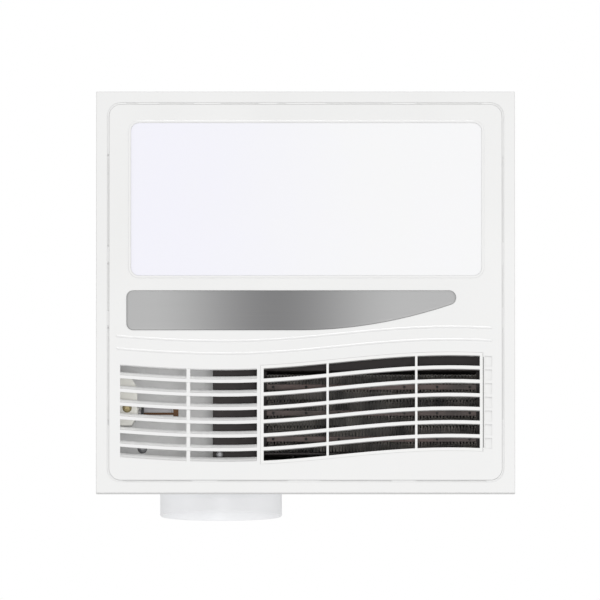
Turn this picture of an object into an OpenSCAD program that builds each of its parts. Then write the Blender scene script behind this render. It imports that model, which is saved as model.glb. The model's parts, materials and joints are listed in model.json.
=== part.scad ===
// Bathroom ceiling heater with lamp, warm-air outlet and duct collar.
// Z points up as installed, and the face looks down. The origin is the centre of the ceiling cut-out, at the ceiling.
// Seen from the room, X runs to the right and Y towards the duct collar.

/* [Face plate] */
// Width of the face plate
plate_w = 340; // [334:1:352]
// Length of the face plate
plate_l = 327; // [321:1:338]
// How far the face stands below the ceiling
face_drop = 14; // [13:0.5:17]
// Width of the outer border, up to the seam
border_w = 9.2; // [8.6:0.1:9.8]
// Seam between the border and the inner cover
seam_w = 1.4; // [1.1:0.1:1.8]
// Wall of the white mouldings
wall = 2.4; // [2:0.1:2.8]
// Corner radius of the inner cover
cover_r = 9.5; // [6:0.5:12]
// How far the open cover hangs down on its wires
cover_travel = 45; // [30:1:50]

/* [Lamp] */
// Width of the opal panel
lens_w = 284.4; // [270:0.2:290]
// Length of the opal panel
lens_l = 124.2; // [110:0.2:128]
// Centre of the panel from the middle of the plate, along X
lens_x = 0.6; // [-3:0.1:3]
// Centre of the panel from the middle of the plate, along Y
lens_y = -75.7; // [-77:0.1:-72]
// Corner radius of the panel
lens_r = 6.5; // [4:0.5:10]
// How far the panel stands proud of the cover
lens_proud = 0.8; // [0.4:0.1:1.2]
// Depth of the lamp tray above the ceiling
tray_h = 20; // [16:1:24]
// Rows of lamp boards
led_rows = 3; // [2:1:4]
// Chips on each board
led_per_row = 14; // [8:1:16]

/* [Trim plate] */
// Left end of the metal trim plate
trim_x0 = -145.2; // [-148:0.2:-140]
// Straight edge of the trim plate
trim_y0 = -1.2; // [-3:0.1:1]
// Height of the trim plate at its left end
trim_h = 32; // [26:0.5:34]
// Length of the trim plate
trim_l = 267.2; // [250:0.2:272]
// Where the lower edge starts to rise, from the left end
trim_straight = 140; // [110:1:150]
// Corner radius at the left end
trim_r = 5.4; // [3:0.1:7]
// Radius of the swept tip
trim_tip_r = 5.7; // [4.5:0.1:6.5]
// Thickness of the trim plate
trim_t = 1.2; // [1:0.1:1.6]

/* [Grille] */
// Middle height of the wave at the first slot's edge
grille_y = 57; // [55:0.2:58]
// Distance from slot to slot
slot_pitch = 11.14; // [10.6:0.02:11.4]
// Width of a slot
slot_gap = 8.4; // [7.4:0.1:8.8]
// Number of slots
slot_count = 7; // [6:1:7]
// Height of the wave
wave_h = 5.8; // [4:0.05:7]
// Where the wave is lowest, seen from the room
crest_x = -65; // [-75:1:-55]
// Left end of the inlet slots
inlet_x0 = -150.4; // [-151.5:0.1:-148]
// Right end of the inlet slots
inlet_x1 = -39.4; // [-41:0.1:-38.6]
// Right end of the outlet slots
outlet_x1 = 141.4; // [139:0.1:142]
// Depth of the bars
bar_depth = 10; // [8:0.5:11]
// How far an inlet blade leans over its depth
blade_lean = 3.3; // [2:0.1:4]
// Width of the inlet's centre bar
inlet_bar_w = 3.1; // [2:0.1:4]
// Width of the outlet's thin bars
outlet_bar_w = 1.9; // [1.6:0.1:3]

/* [Housing] */
// Width of the sheet housing
box_w = 306; // [305:0.5:308]
// Length of the sheet housing
box_l = 286; // [285.5:0.5:289]
// Height of the housing above the ceiling
box_h = 172; // [171.5:0.5:180]
// Sheet thickness
sheet = 0.8; // [0.6:0.1:1]
// Width of the flange round the open bottom
flange_w = 9; // [8.5:0.5:9.5]
// Height of the air box floor above the ceiling
floor_z = 46; // [44:0.5:48]

/* [Mounting] */
// Distance between the bracket holes across the housing
bracket_span = 323; // [322:0.5:324]
// Distance between the bracket holes along the housing
bracket_pitch = 180; // [120:1:200]
// Diameter of the bracket holes
bracket_hole_d = 6.5; // [4:0.5:7]
// Height of the brackets above the ceiling
bracket_z = 15; // [12:1:40]

/* [Duct] */
// Outside diameter of the collar
duct_d = 99.3; // [96:0.1:100]
// Wall of the collar
duct_wall = 1.9; // [1.6:0.1:2.4]
// Centre of the collar along X
duct_x = -68.9; // [-69.5:0.1:-68]
// Height of the collar's centre above the ceiling
duct_z = 113; // [112:0.5:114]
// Length of the collar outside the housing
duct_out = 28.7; // [26:0.1:40]

/* [Heater] */
// Number of heater tubes
tube_count = 3; // [3:1:3]
// Distance from tube to tube
tube_pitch = 21.2; // [20.8:0.1:21.6]
// Width of a tube
tube_w = 4.2; // [4:0.1:5.2]
// Depth of the heater element
heater_depth = 24; // [18:1:26]
// Length of the fins
fin_l = 170; // [160:1:171]
// Folds of each fin strip
fin_folds = 56; // [30:1:60]
// Left end of the black terminal cover
cover_x0 = -75.3; // [-82:0.1:-74]

/* [Blower] */
// Outside diameter of the blower wheel
wheel_d = 130; // [122:1:131]
// Height of the blades
blade_h = 58; // [50:1:60]
// Number of blades
blade_count = 40; // [24:1:44]
// Depth of a blade, from outside to inside
blade_depth = 11; // [9:0.5:13]
// Thickness of a blade
blade_t = 1; // [0.8:0.1:1.4]
// Centre of the wheel along X
wheel_x = 24; // [22:0.5:26]
// Centre of the wheel along Y
wheel_y = -46; // [-46.5:0.5:-45]
// Diameter of the blower shaft
shaft_d = 6; // [5:0.5:8]

/* [Flaps] */
// Diameter of the diverter axle
axle_d = 5; // [4:0.5:6]
// Height of the diverter axle above the ceiling
axle_z = 62; // [61.5:0.5:63]
// Distance of the diverter axle from the duct wall
axle_back = 7.2; // [7:0.1:8]

/* [Controls] */
// Bore of the cable gland
gland_bore = 8; // [6:0.5:10]
// Height of the cable gland above the ceiling
gland_z = 112; // [105:1:125]

/* [Hidden] */
NODES = ["ceiling_frame", "frame_gasket", "frame_screws", "housing", "end_panels", "panel_rivets",
    "mounting_brackets", "bracket_bolts",
    "hanger_brackets", "light_tray", "led_boards", "led_chips", "lamp_driver", "air_box", "chamber_walls",
    "blower_scroll", "inlet_ring", "scroll_lid", "blower_motor", "motor_grommets", "motor_screws", "damper_motor", "duct_collar", "collar_seal",
    "collar_screws", "heater_frame", "heater_cover", "cover_screw", "heater_screws", "ptc_tubes", "ptc_fins",
    "ptc_end_caps", "heater_terminals", "thermal_cutout", "sensor_bracket", "sensor_probe", "bracket_screw",
    "earth_screw", "control_box", "control_lid", "control_board", "terminal_block", "cable_gland", "gland_cap", "front_cover",
    "outlet_grille", "grille_screws", "lamp_diffuser", "lens_clips", "trim_plate", "cover_hangers", "blower_wheel", "wheel_hub",
    "motor_shaft", "wheel_clip", "diverter_flap", "diverter_axle", "flap_seals", "backdraft_flap", "backdraft_pin"];
node = "all";
function shown(name) = node == "all" || node == name;

// Clearances
fit = 0.3;            // between pieces that move past each other
snug = 0.08;          // between pieces that are clipped into each other
run = 0.06;           // radial play of a shaft in its bearing
eps = 0.01;
$fn = 48;

// Heights and edges that several pieces share
face_z = -face_drop;
inner_x = box_w / 2 - sheet;
inner_y = box_l / 2 - sheet;
frame_flange_t = 1.8;
frame_flange_z = -sheet - frame_flange_t;
upstand_h = 5;
upstand_t = 1.6;
skirt_t = 1.8;
skirt_top = frame_flange_z - 0.5;
cover_w = plate_w - 2 * (border_w + seam_w);
cover_l = plate_l - 2 * (border_w + seam_w);
face_back = face_z + wall;
bars_back = face_z + bar_depth;
rail_top = bars_back - 4;
half_wave_r = 183;    // half a wave length, right of the lowest point
half_wave_l = 220;    // the same, left of it
wave_steps = 14;
slot_bar = slot_pitch - slot_gap;
grille_h = slot_count * slot_pitch - slot_bar;
insert_edge = 2.6;    // border of the outlet insert outside its slots
insert_x0 = inlet_x1 + 2.8;
outlet_x0 = insert_x0 + insert_edge;
insert_x1 = outlet_x1 + insert_edge;
outlet_bars = [0.296, 0.706];   // places of the thin bars, as parts of the outlet's width
lean_rail = 1.5;      // how far the outlet's top rail flares
pocket_x = [insert_x1 + 1.5, insert_x1 + 7.2];
pocket_depth = 1;
ridge_x = [-cover_w / 2 + 6.4, cover_w / 2 - 8.4];

// Lugs that bridge the seam: centre and width along each edge
end_lugs = [[-82, 18.6], [-2.5, 24.3], [78.9, 18.2]];
side_lugs = [[-30.7, 15.4], [21.9, 14.7]];
slit_end_x = 149;
slit_end_y = [-111.7, 104.1];

// Lamp
lens_flange = 4;
lens_flange_t = 1.4;
tray_z0 = -8;
tray_x = lens_w / 2 + 2;
tray_y = lens_l / 2 + 1.5;

// Air box, in plan
chamber_x0 = -121;
chamber_x1 = 148;
chamber_step_x = -17;
chamber_y_left = 32;
chamber_y_right = 48;
chamber_top = box_h - sheet;
axle_y = inner_y - axle_back;
flap_t = 1;
flap_left = [chamber_x0 + 1.6, chamber_step_x - 1.6];
flap_right = [chamber_step_x - 1.6, chamber_x1 - 1.8];
flap_left_h = 100;
flap_right_h = axle_y - chamber_y_right - sheet - 7.4;
barrel_r = axle_d / 2 + 1.5;
seal_t = 1.5;

// Heater
heater_x0 = insert_x0 - 1.6;
heater_x1 = outlet_x1 + 4;
heater_mid_y = 96.2;
heater_half = tube_pitch * tube_count / 2;
heater_wall = 1.6;
heater_y0 = heater_mid_y - heater_half - 1.6;
heater_y1 = heater_mid_y + heater_half + 1.6;
heater_bottom = -1;
fin_mid_x = (heater_x0 + heater_x1) / 2;
fin_x0 = fin_mid_x - fin_l / 2;
fin_x1 = fin_mid_x + fin_l / 2;
fin_w = (tube_pitch - tube_w) / 2 - 0.1;
fin_t = 0.4;
element_z = 14;
rim_top = axle_z - flap_t / 2 - seal_t - fit;
cover_y0 = 52;
cover_y1 = inner_y - 3;

// Blower
wheel_r = wheel_d / 2;
scroll_t = 1.5;
scroll_z0 = axle_z;
blade_z0 = scroll_z0 + scroll_t + 6.5;
scroll_z1 = blade_z0 + blade_h + 8;
tongue_a = 45;
scroll_r0 = wheel_r + 6.5;
scroll_gain = 30;
scroll_steps = 30;
inlet_r = wheel_r - blade_depth - 2;
mouth_r = 6;
motor_r = 36;
motor_z0 = blade_z0 + blade_h - 24;
motor_z1 = scroll_z1 + scroll_t + 22;
motor_ear_r = 47;
hub_z0 = motor_z0 - 13;

// Duct
duct_r = duct_d / 2;
duct_bore = duct_r - duct_wall;
collar_flange = duct_d + 16;
collar_flange_t = 2;
collar_seal_t = 1.2;
collar_y = box_l / 2 + collar_seal_t;
seat_y = axle_y + flap_t / 2 + seal_t + fit;
backdraft_y = collar_y + 7;
backdraft_dz = duct_bore - 6.2;
backdraft_pin_r = 1.2;
backdraft_lip = 5;                 // width of the flap's seat
backdraft_gap = 3.4;               // keeps the lifted flap clear of the collar
backdraft_top = duct_bore - 23;    // half the flap's width at its pin
sleeve_y = collar_y + collar_flange_t + 4.3;    // where the duct's own wall begins

// Mounting
bracket_t = 1.5;
bracket_h = 22;
screw_r = 1.9;
hanger_x = 140;
hanger_y = [10, 26];
hanger_wire_r = 1;
hanger_top = 12.5 + cover_travel;
hanger_z = 8;

function wave(x) = wave_h * cos(180 * (x - crest_x) / (x < crest_x ? half_wave_l : half_wave_r));
function wave_line(x0, x1, dy) =
    [for (i = [0:wave_steps]) let (x = x0 + (x1 - x0) * i / wave_steps) [x, grille_y + dy + wave(x)]];
function turned(points) = [for (i = [len(points) - 1:-1:0]) points[i]];
function arc(cx, cy, r, a0, a1, steps) =
    [for (i = [0:steps]) let (a = a0 + (a1 - a0) * i / steps) [cx + r * cos(a), cy + r * sin(a)]];

// A plate between two copies of the wave
module wave_band(x0, x1, dy0, dy1, z0, h) {
    translate([0, 0, z0])
        linear_extrude(h)
            polygon(concat(wave_line(x0, x1, dy0), turned(wave_line(x0, x1, dy1))));
}

// A blade along the wave whose back edge is shifted by lean
module wave_blade(x0, x1, dy, width, z0, z1, lean) {
    n = wave_steps / 2;
    stations = [for (i = [0:n]) let (x = x0 + (x1 - x0) * i / n, y = grille_y + dy + wave(x))
        [[x, y, z0], [x, y + width, z0], [x, y + width + lean, z1], [x, y + lean, z1]]];
    points = [for (s = stations) for (p = s) p];
    sides = [for (i = [0:n - 1]) for (k = [0:3])
        [4 * i + k, 4 * (i + 1) + k, 4 * (i + 1) + (k + 1) % 4, 4 * i + (k + 1) % 4]];
    polyhedron(points, concat([[0, 1, 2, 3]], sides, [[4 * n + 3, 4 * n + 2, 4 * n + 1, 4 * n]]));
}

// Rounded rectangle, centred
module rounded(w, l, r) {
    square([w - 2 * r, l], center = true);
    square([w, l - 2 * r], center = true);
    for (sx = [-1, 1], sy = [-1, 1])
        translate([sx * (w / 2 - r), sy * (l / 2 - r)])
            circle(r, $fn = 40);
}

module rounded_plate(w, l, r, z0, h) {
    translate([0, 0, z0])
        linear_extrude(h)
            rounded(w, l, r);
}

module rounded_ring(w, l, r, t, z0, h) {
    difference() {
        rounded_plate(w, l, r, z0, h);
        rounded_plate(w - 2 * t, l - 2 * t, max(r - t, 0.4), z0 - 1, h + 2);
    }
}

// A box between two corners
module block(x, y, z) {
    translate([x[0], y[0], z[0]])
        cube([x[1] - x[0], y[1] - y[0], z[1] - z[0]]);
}

// A cross-head pan screw: the head sits on z = 0 and the shank goes up
module pan_screw(r, length) {
    difference() {
        rotate_extrude($fn = 32)
            polygon(concat([[0, -r], [r * 0.8, -r]], [[r * 1.6, -r * 0.7], [r * 2, -r * 0.2], [r * 2, 0], [r, 0],
                [r, length - r], [0, length]]));
        for (a = [0, 90])
            rotate([0, 0, a])
                translate([-r, -r * 0.2, -r - eps])
                    cube([2 * r, r * 0.4, r * 0.6]);
    }
}

// Outer border with its lugs
module ceiling_frame() {
    border_in_w = plate_w - 2 * border_w;
    border_in_l = plate_l - 2 * border_w;
    color("white") {
        difference() {
            union() {
                rounded_plate(plate_w, plate_l, 0.8, face_z, wall);
                rounded_ring(plate_w, plate_l, 0.8, wall, face_z, face_drop - sheet);
                rounded_ring(plate_w, plate_l, 0.8, plate_w / 2 - inner_x - 0.4, frame_flange_z, frame_flange_t);
            }
            rounded_plate(border_in_w, border_in_l, cover_r + seam_w, face_z - eps, wall + 0.5);
            rounded_plate(2 * inner_x + 0.8, 2 * inner_y + 0.8, 3, frame_flange_z - eps, frame_flange_t + 1);
            for (p = frame_screw_places())
                translate([p[0], p[1], frame_flange_z - 1])
                    cylinder(r = screw_r, h = 4);
        }
        difference() {
            rounded_plate(border_in_w + 2 * upstand_t, border_in_l + 2 * upstand_t, cover_r + seam_w + upstand_t,
                face_z, upstand_h);
            rounded_plate(border_in_w, border_in_l, cover_r + seam_w, face_z - eps, upstand_h + 1);
        }
        seam_ledge(border_in_w, border_in_l, 1.9);
        intersection() {
            seam_ledge(border_in_w, border_in_l, 0.9);
            for (s = [-1, 1]) {
                for (lug = end_lugs)
                    translate([lug[0], s * border_in_l / 2, face_z])
                        cube([lug[1], 10, 30], center = true);
                for (lug = side_lugs)
                    translate([s * border_in_w / 2, lug[0], face_z])
                        cube([10, lug[1], 30], center = true);
                for (k = [0, 1])
                    block(s > 0 ? [slit_end_x, plate_w / 2] : [-plate_w / 2, -slit_end_x],
                        k > 0 ? [slit_end_y[1], plate_l / 2] : [-plate_l / 2, slit_end_y[0]], [face_z, 0]);
            }
        }
    }
}

// Ledge behind the seam, at a depth behind the face
module seam_ledge(w, l, depth) {
    out = 2 * (seam_w - fit);
    difference() {
        rounded_plate(w + 0.8, l + 0.8, cover_r + seam_w + 0.4, face_z + depth, upstand_h - depth);
        rounded_plate(w - out, l - out, cover_r + fit, face_z, upstand_h + 2);
    }
}

function frame_screw_places() =
    [for (sx = [-1, 1], sy = [-1, 1]) [sx * 90, sy * (box_l / 2 + 3.6)]];

module frame_gasket() {
    gap = plate_w / 2 - wall - (box_w / 2 + flange_w) - 0.6;
    color("dimgray")
        rounded_ring(plate_w - 2 * wall - 0.4, plate_l - 2 * wall - 0.4, 2, gap, -sheet, sheet);
}

module frame_screws() {
    color("silver")
        for (p = frame_screw_places())
            translate([p[0], p[1], frame_flange_z])
                pan_screw(screw_r, frame_flange_t + sheet + 6);
}

// Top and sides of the housing, one bent sheet
module housing() {
    bead = 1.2;
    color("lightgray")
        difference() {
            union() {
                block([-box_w / 2, box_w / 2], [-inner_y, inner_y], [box_h - sheet, box_h]);
                for (s = [-1, 1])
                    mirror([s < 0 ? 1 : 0, 0, 0]) {
                        block([inner_x, box_w / 2], [-inner_y, inner_y], [-sheet, box_h]);
                        block([inner_x, box_w / 2 + flange_w], [-inner_y, inner_y], [-sheet, 0]);
                    }
                for (k = [-1, 0, 1])
                    block([-box_w / 2 + 30, box_w / 2 - 30], [k * 70 - 5, k * 70 + 5], [box_h - sheet, box_h + bead]);
            }
            for (k = [-1, 0, 1])
                block([-box_w / 2 + 31, box_w / 2 - 31], [k * 70 - 4, k * 70 + 4],
                    [box_h - sheet - 1, box_h + bead - sheet]);
            translate([0, gland_y, gland_z])
                rotate([0, -90, 0])
                    cylinder(r = gland_r + 0.1, h = box_w);
            for (p = bracket_bolt_places())
                translate([-box_w, p[1], p[2]])
                    rotate([0, 90, 0])
                        cylinder(r = 2, h = 2 * box_w);
            panel_rivet_holes();
        }
}

// Two end panels with their flanges, lapped over the bent sheet
module end_panels() {
    lap_x = box_w / 2 + sheet;
    color("lightgray")
        difference() {
            for (s = [-1, 1])
                mirror([0, s < 0 ? 1 : 0, 0]) {
                    block([-lap_x, lap_x], [inner_y, box_l / 2], [0, box_h + sheet]);
                    block([-box_w / 2 - flange_w, box_w / 2 + flange_w], [inner_y, box_l / 2 + flange_w], [-sheet, 0]);
                    for (k = [-1, 1])
                        block(k > 0 ? [box_w / 2, lap_x] : [-lap_x, -box_w / 2], [box_l / 2 - panel_lap, box_l / 2],
                            [4, box_h - 6]);
                    block([-box_w / 2 + 12, box_w / 2 - 12], [box_l / 2 - panel_lap, box_l / 2], [box_h, box_h + sheet]);
                }
            translate([duct_x, 0, duct_z])
                rotate([-90, 0, 0])
                    cylinder(r = duct_bore + 0.5, h = box_l, $fn = 96);
            for (p = frame_screw_places())
                translate([p[0], p[1], -sheet - 1])
                    cylinder(r = screw_r, h = 3);
            for (p = collar_screw_places())
                translate([p[0], 0, p[1]])
                    rotate([-90, 0, 0])
                        cylinder(r = screw_r, h = box_l);
            panel_rivet_holes();
        }
}

panel_lap = 11;
rivet_r = 1.6;

// Rivets of the laps: places, and turns that point the heads outwards
function panel_rivet_places() = concat(
    [for (sx = [-1, 1], sy = [-1, 1], k = [0.12, 0.5, 0.88])
        [[sx * box_w / 2, sy * (box_l / 2 - panel_lap / 2), k * box_h], [0, sx * 90, 0]]],
    [for (sx = [-1, 0, 1], sy = [-1, 1])
        [[sx * box_w * 0.38, sy * (box_l / 2 - panel_lap / 2), box_h], [0, 0, 0]]]);

module panel_rivet_holes() {
    for (p = panel_rivet_places())
        translate(p[0])
            rotate(p[1])
                translate([0, 0, -3])
                    cylinder(r = rivet_r, h = 6, $fn = 24);
}

// Blind rivets with domed heads
module panel_rivets() {
    color("silver")
        for (p = panel_rivet_places())
            translate(p[0])
                rotate(p[1])
                    rotate_extrude($fn = 24)
                        polygon(concat([[0, -sheet - 1.4], [rivet_r * 1.25, -sheet - 1.1], [rivet_r * 1.25, -sheet],
                            [rivet_r, -sheet], [rivet_r, sheet], [rivet_r * 2, sheet], [rivet_r * 1.7, sheet + 0.5],
                            [rivet_r, sheet + 0.9], [0, sheet + 1.05]]));
}

gland_y = -72;
gland_r = gland_bore / 2 + 3;
gland_stub_r = gland_bore / 2 + 1.6;

function bracket_bolt_places() =
    [for (sx = [-1, 1], sy = [-1, 1], k = [-1, 1]) [sx * box_w / 2, sy * bracket_pitch / 2 + k * 9, bracket_z + bracket_h * 0.64]];

// Four angles on the sides of the housing
module mounting_brackets() {
    ear_x1 = bracket_span / 2 + 6;
    color("silver")
        for (sx = [-1, 1], sy = [-1, 1])
            translate([0, sy * bracket_pitch / 2, 0])
                mirror([sx < 0 ? 1 : 0, 0, 0])
                    difference() {
                        union() {
                            block([box_w / 2, ear_x1], [-15, 15], [bracket_z, bracket_z + bracket_t]);
                            block([box_w / 2, box_w / 2 + bracket_t], [-15, 15], [bracket_z, bracket_z + bracket_h]);
                            for (k = [-1, 1])
                                translate([box_w / 2, k * 13.5 - 0.75, bracket_z])
                                    rotate([90, 0, 0])
                                        translate([0, 0, -1.5])
                                            linear_extrude(1.5)
                                                polygon([[0, 0], [ear_x1 - box_w / 2 - 1, 0], [0, bracket_h - 4]]);
                        }
                        translate([bracket_span / 2, 0, bracket_z - 1])
                            cylinder(d = bracket_hole_d, h = bracket_t + 2);
                        for (k = [-1, 1])
                            translate([box_w / 2 - 1, k * 9, bracket_z + bracket_h * 0.64])
                                rotate([0, 90, 0])
                                    cylinder(r = 2, h = 5);
                    }
}

module bracket_bolts() {
    color("silver")
        for (p = bracket_bolt_places())
            translate([p[0] > 0 ? p[0] + bracket_t : p[0] - bracket_t, p[1], p[2]])
                rotate([0, p[0] > 0 ? -90 : 90, 0]) {
                    cylinder(r = 2, h = bracket_t + sheet + 3);
                    translate([0, 0, -2.2])
                        cylinder(r = 3.6, h = 2.2, $fn = 6);
                }
}

// Sheet angles inside the housing that the cover's wires slide in
module hanger_brackets() {
    color("silver")
        for (sx = [-1, 1])
            mirror([sx < 0 ? 1 : 0, 0, 0])
                difference() {
                    union() {
                        block([hanger_x - 6, inner_x], [hanger_y[0] - 5, hanger_y[1] + 3.6], [hanger_z, hanger_z + 1.2]);
                        block([inner_x - 1.2, inner_x], [hanger_y[0] - 5, hanger_y[1] + 3.6], [hanger_z, hanger_z + 16]);
                    }
                    for (y = hanger_y)
                        translate([hanger_x, y, hanger_z - 1])
                            cylinder(r = hanger_wire_r + fit, h = 4);
                }
}

// Reflector pan over the lamp, with sloped sides
module light_tray() {
    color("whitesmoke")
        translate([lens_x, lens_y, 0]) {
            difference() {
                tray_body(tray_x, tray_y, 0);
                tray_body(tray_x - sheet, tray_y - sheet, sheet);
            }
            difference() {
                block([-tray_x - 5, tray_x + 5], [-tray_y, tray_y], [tray_z0, tray_z0 + sheet]);
                block([-tray_x + eps, tray_x - eps], [-tray_y - 1, tray_y + 1], [tray_z0 - 1, tray_z0 + 2]);
            }
            for (sx = [-1, 1])
                mirror([sx < 0 ? 1 : 0, 0, 0]) {
                    block([tray_x + 5 - sheet, inner_x - sx * lens_x], [-tray_y + 20, tray_y - 20],
                        [tray_z0, tray_z0 + sheet]);
                    block([inner_x - sx * lens_x - sheet, inner_x - sx * lens_x], [-tray_y + 20, tray_y - 20],
                        [tray_z0, 12]);
                }
        }
}

// The pan's outer or inner shape: two tapered prisms crossed
module tray_body(x, y, top) {
    slope = 8;
    h = tray_h - tray_z0;
    intersection() {
        translate([0, y, tray_z0])
            rotate([90, 0, 0])
                linear_extrude(2 * y)
                    polygon([[-x, top > 0 ? -1 : 0], [x, top > 0 ? -1 : 0], [x, 2], [x - slope, h - top],
                        [-x + slope, h - top], [-x, 2]]);
        translate([-x, 0, tray_z0])
            rotate([90, 0, 90])
                linear_extrude(2 * x)
                    polygon([[-y, top > 0 ? -1 : 0], [y, top > 0 ? -1 : 0], [y, 2], [y - slope, h - top],
                        [-y + slope, h - top], [-y, 2]]);
    }
}

function led_row_y(i) = lens_y + (i - (led_rows - 1) / 2) * lens_l / (led_rows + 0.6);
led_board_t = 1.2;
led_board_w = 14;
led_board_l = lens_w - 30;

module led_boards() {
    color("ivory")
        for (i = [0:led_rows - 1])
            block([lens_x - led_board_l / 2, lens_x + led_board_l / 2],
                [led_row_y(i) - led_board_w / 2, led_row_y(i) + led_board_w / 2],
                [tray_h - sheet - led_board_t, tray_h - sheet]);
}

module led_chips() {
    pitch = (led_board_l - 12) / (led_per_row - 1);
    color("khaki")
        for (i = [0:led_rows - 1], k = [0:led_per_row - 1])
            translate([lens_x + (k - (led_per_row - 1) / 2) * pitch, led_row_y(i), tray_h - sheet - led_board_t - 0.4])
                cube([3.5, 2.8, 0.8], center = true);
}

module lamp_driver() {
    color("white")
        translate([lens_x - lens_w / 2 + 41.6, lens_y - lens_l * 0.2, tray_h]) {
            difference() {
                rounded_plate(84, 34, 4, 0, 20);
                for (s = [-1, 1])
                    translate([s * 47, 0, 2])
                        rounded_plate(20, 26, 2, 0, 30);
            }
        }
}

// Floor of the galvanised air box, with the heater opening and its rim
module air_box() {
    t = sheet;
    yl = chamber_y_left;
    color("lightgray")
        difference() {
            union() {
                intersection() {
                    block([-inner_x, inner_x], [yl, inner_y], [floor_z, floor_z + t]);
                    rounded_plate(2 * inner_x, 2 * inner_y, 3 - sheet, floor_z, t);
                }
                for (s = [-1, 1])
                    block(s < 0 ? [-inner_x, -inner_x + t] : [inner_x - t, inner_x], [yl, inner_y - 4],
                        [floor_z, floor_z + 8]);
                difference() {
                    block([heater_x0, heater_x1], [heater_y0, heater_y1], [floor_z, rim_top]);
                    block([heater_x0 + t, heater_x1 - t], [heater_y0 + t, heater_y1 - t], [floor_z - 1, rim_top + 1]);
                }
            }
            block([heater_x0 + t, heater_x1 - t], [heater_y0 + t, heater_y1 - t], [floor_z - 1, rim_top + 1]);
            for (p = heater_screw_places())
                translate([p[0], p[1], floor_z - 1])
                    cylinder(r = 1.6, h = 4);
            translate([earth_at[0], earth_at[1], floor_z - 1])
                cylinder(r = 2, h = 4);
        }
}

// Walls of the air box round the diverter, standing on its floor, with the axle's bearings
module chamber_walls() {
    t = sheet;
    x0 = chamber_x0;
    x1 = chamber_x1;
    xs = chamber_step_x;
    yl = chamber_y_left;
    yr = chamber_y_right;
    outer = [[x0, yl], [xs, yl], [xs, yr], [x1, yr], [x1, inner_y], [x0, inner_y]];
    inner = [[x0 + t, yl + t], [xs - t, yl + t], [xs - t, yr + t], [x1 - t, yr + t], [x1 - t, inner_y + 1],
        [x0 + t, inner_y + 1]];
    color("lightgray")
        difference() {
            union() {
                translate([0, 0, floor_z + t])
                    linear_extrude(chamber_top - floor_z - t)
                        difference() {
                            polygon(outer);
                            polygon(inner);
                        }
                for (x = [x0 - 2.2, x1 - t])
                    translate([x, axle_y, axle_z])
                        rotate([0, 90, 0])
                            cylinder(r = axle_d / 2 + 2.2, h = 3);
            }
            block([scroll_out_x0(), scroll_out_x1()], [yr - 1, yr + 2], [scroll_z0 + scroll_t, scroll_z1]);
            translate([x0 - 5, axle_y, axle_z])
                rotate([0, 90, 0])
                    cylinder(r = axle_d / 2 + run, h = x1 - x0 + 10);
        }
}

// Spiral casing of the blower: radius grows evenly with the angle from the tongue
function scroll_r(a) = scroll_r0 + scroll_gain * (a - tongue_a) / (360 - tongue_a);
function scroll_out_x0() = wheel_x + scroll_r0 * cos(tongue_a);
function scroll_out_x1() = wheel_x + scroll_r0 + scroll_gain;
function spiral(extra, a0) =
    [for (i = [0:scroll_steps]) let (a = a0 + (360 - a0) * i / scroll_steps, r = scroll_r(a) + extra)
        [wheel_x + r * cos(a), wheel_y + r * sin(a)]];

module scroll_outline(extra) {
    polygon(concat(spiral(extra, tongue_a + 2 * extra),
        [[scroll_out_x1() + extra, chamber_y_right], [scroll_out_x0() - extra, chamber_y_right]]));
}

module blower_scroll() {
    color("gainsboro") {
        difference() {
            translate([0, 0, scroll_z0])
                linear_extrude(scroll_z1 - scroll_z0)
                    scroll_outline(scroll_t);
            translate([0, 0, scroll_z0 + scroll_t])
                linear_extrude(scroll_z1)
                    difference() {
                        scroll_outline(0);
                        translate([scroll_out_x0() - 1, chamber_y_right - eps])
                            square([scroll_out_x1(), 1]);
                    }
            block([scroll_out_x0(), scroll_out_x1()], [chamber_y_right - 6, chamber_y_right + 2],
                [scroll_z0 + scroll_t, scroll_z1 + 1]);
            translate([wheel_x, wheel_y, scroll_z0 - 1])
                cylinder(r = inlet_r + mouth_r, h = 5, $fn = 96);
        }
    }
}

// Bell mouth of the inlet: a turned lip on a flat ring under the scroll
module inlet_ring() {
    r = inlet_r + mouth_r;
    z = scroll_z0 - scroll_t;
    color("gainsboro")
        translate([wheel_x, wheel_y, 0])
            rotate_extrude($fn = 96)
                polygon(concat([[r + 6, z], [r + 6, scroll_z0], [r - 0.2, scroll_z0]],
                    [for (p = turned(arc(r - 0.2, 0, mouth_r - scroll_t, 180, 265, 8))) [p[0], z + mouth_r + p[1]]],
                    [for (p = arc(r - 0.2, 0, mouth_r, 180, 265, 8)) [p[0], z + mouth_r + p[1]]]));
}

function motor_ear_places() =
    [for (a = [30, 150, 270]) [wheel_x + motor_ear_r * cos(a), wheel_y + motor_ear_r * sin(a)]];

module scroll_lid() {
    color("gainsboro")
        difference() {
            union() {
                translate([0, 0, scroll_z1])
                    linear_extrude(scroll_t)
                        scroll_outline(scroll_t);
                translate([wheel_x, wheel_y, scroll_z1 + scroll_t])
                    difference() {
                        cylinder(r = motor_r + 5, h = 1.5, $fn = 96);
                        translate([0, 0, -1])
                            cylinder(r = motor_r + 3.4, h = 4, $fn = 96);
                    }
                intersection() {
                    for (k = [-1, 1])
                        block([wheel_x - 2 * wheel_r, wheel_x + 2 * wheel_r], [wheel_y + k * 62 - 2, wheel_y + k * 62 + 2],
                            [scroll_z1 + scroll_t - eps, scroll_z1 + scroll_t + 3]);
                    translate([0, 0, scroll_z1])
                        linear_extrude(10)
                            scroll_outline(-3);
                }
            }
            translate([wheel_x, wheel_y, scroll_z1 - 1])
                cylinder(r = motor_r + 2, h = scroll_t + 3, $fn = 96);
            for (p = motor_ear_places())
                translate([p[0], p[1], scroll_z1 - 1])
                    cylinder(r = 3, h = 6);
        }
}

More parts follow.
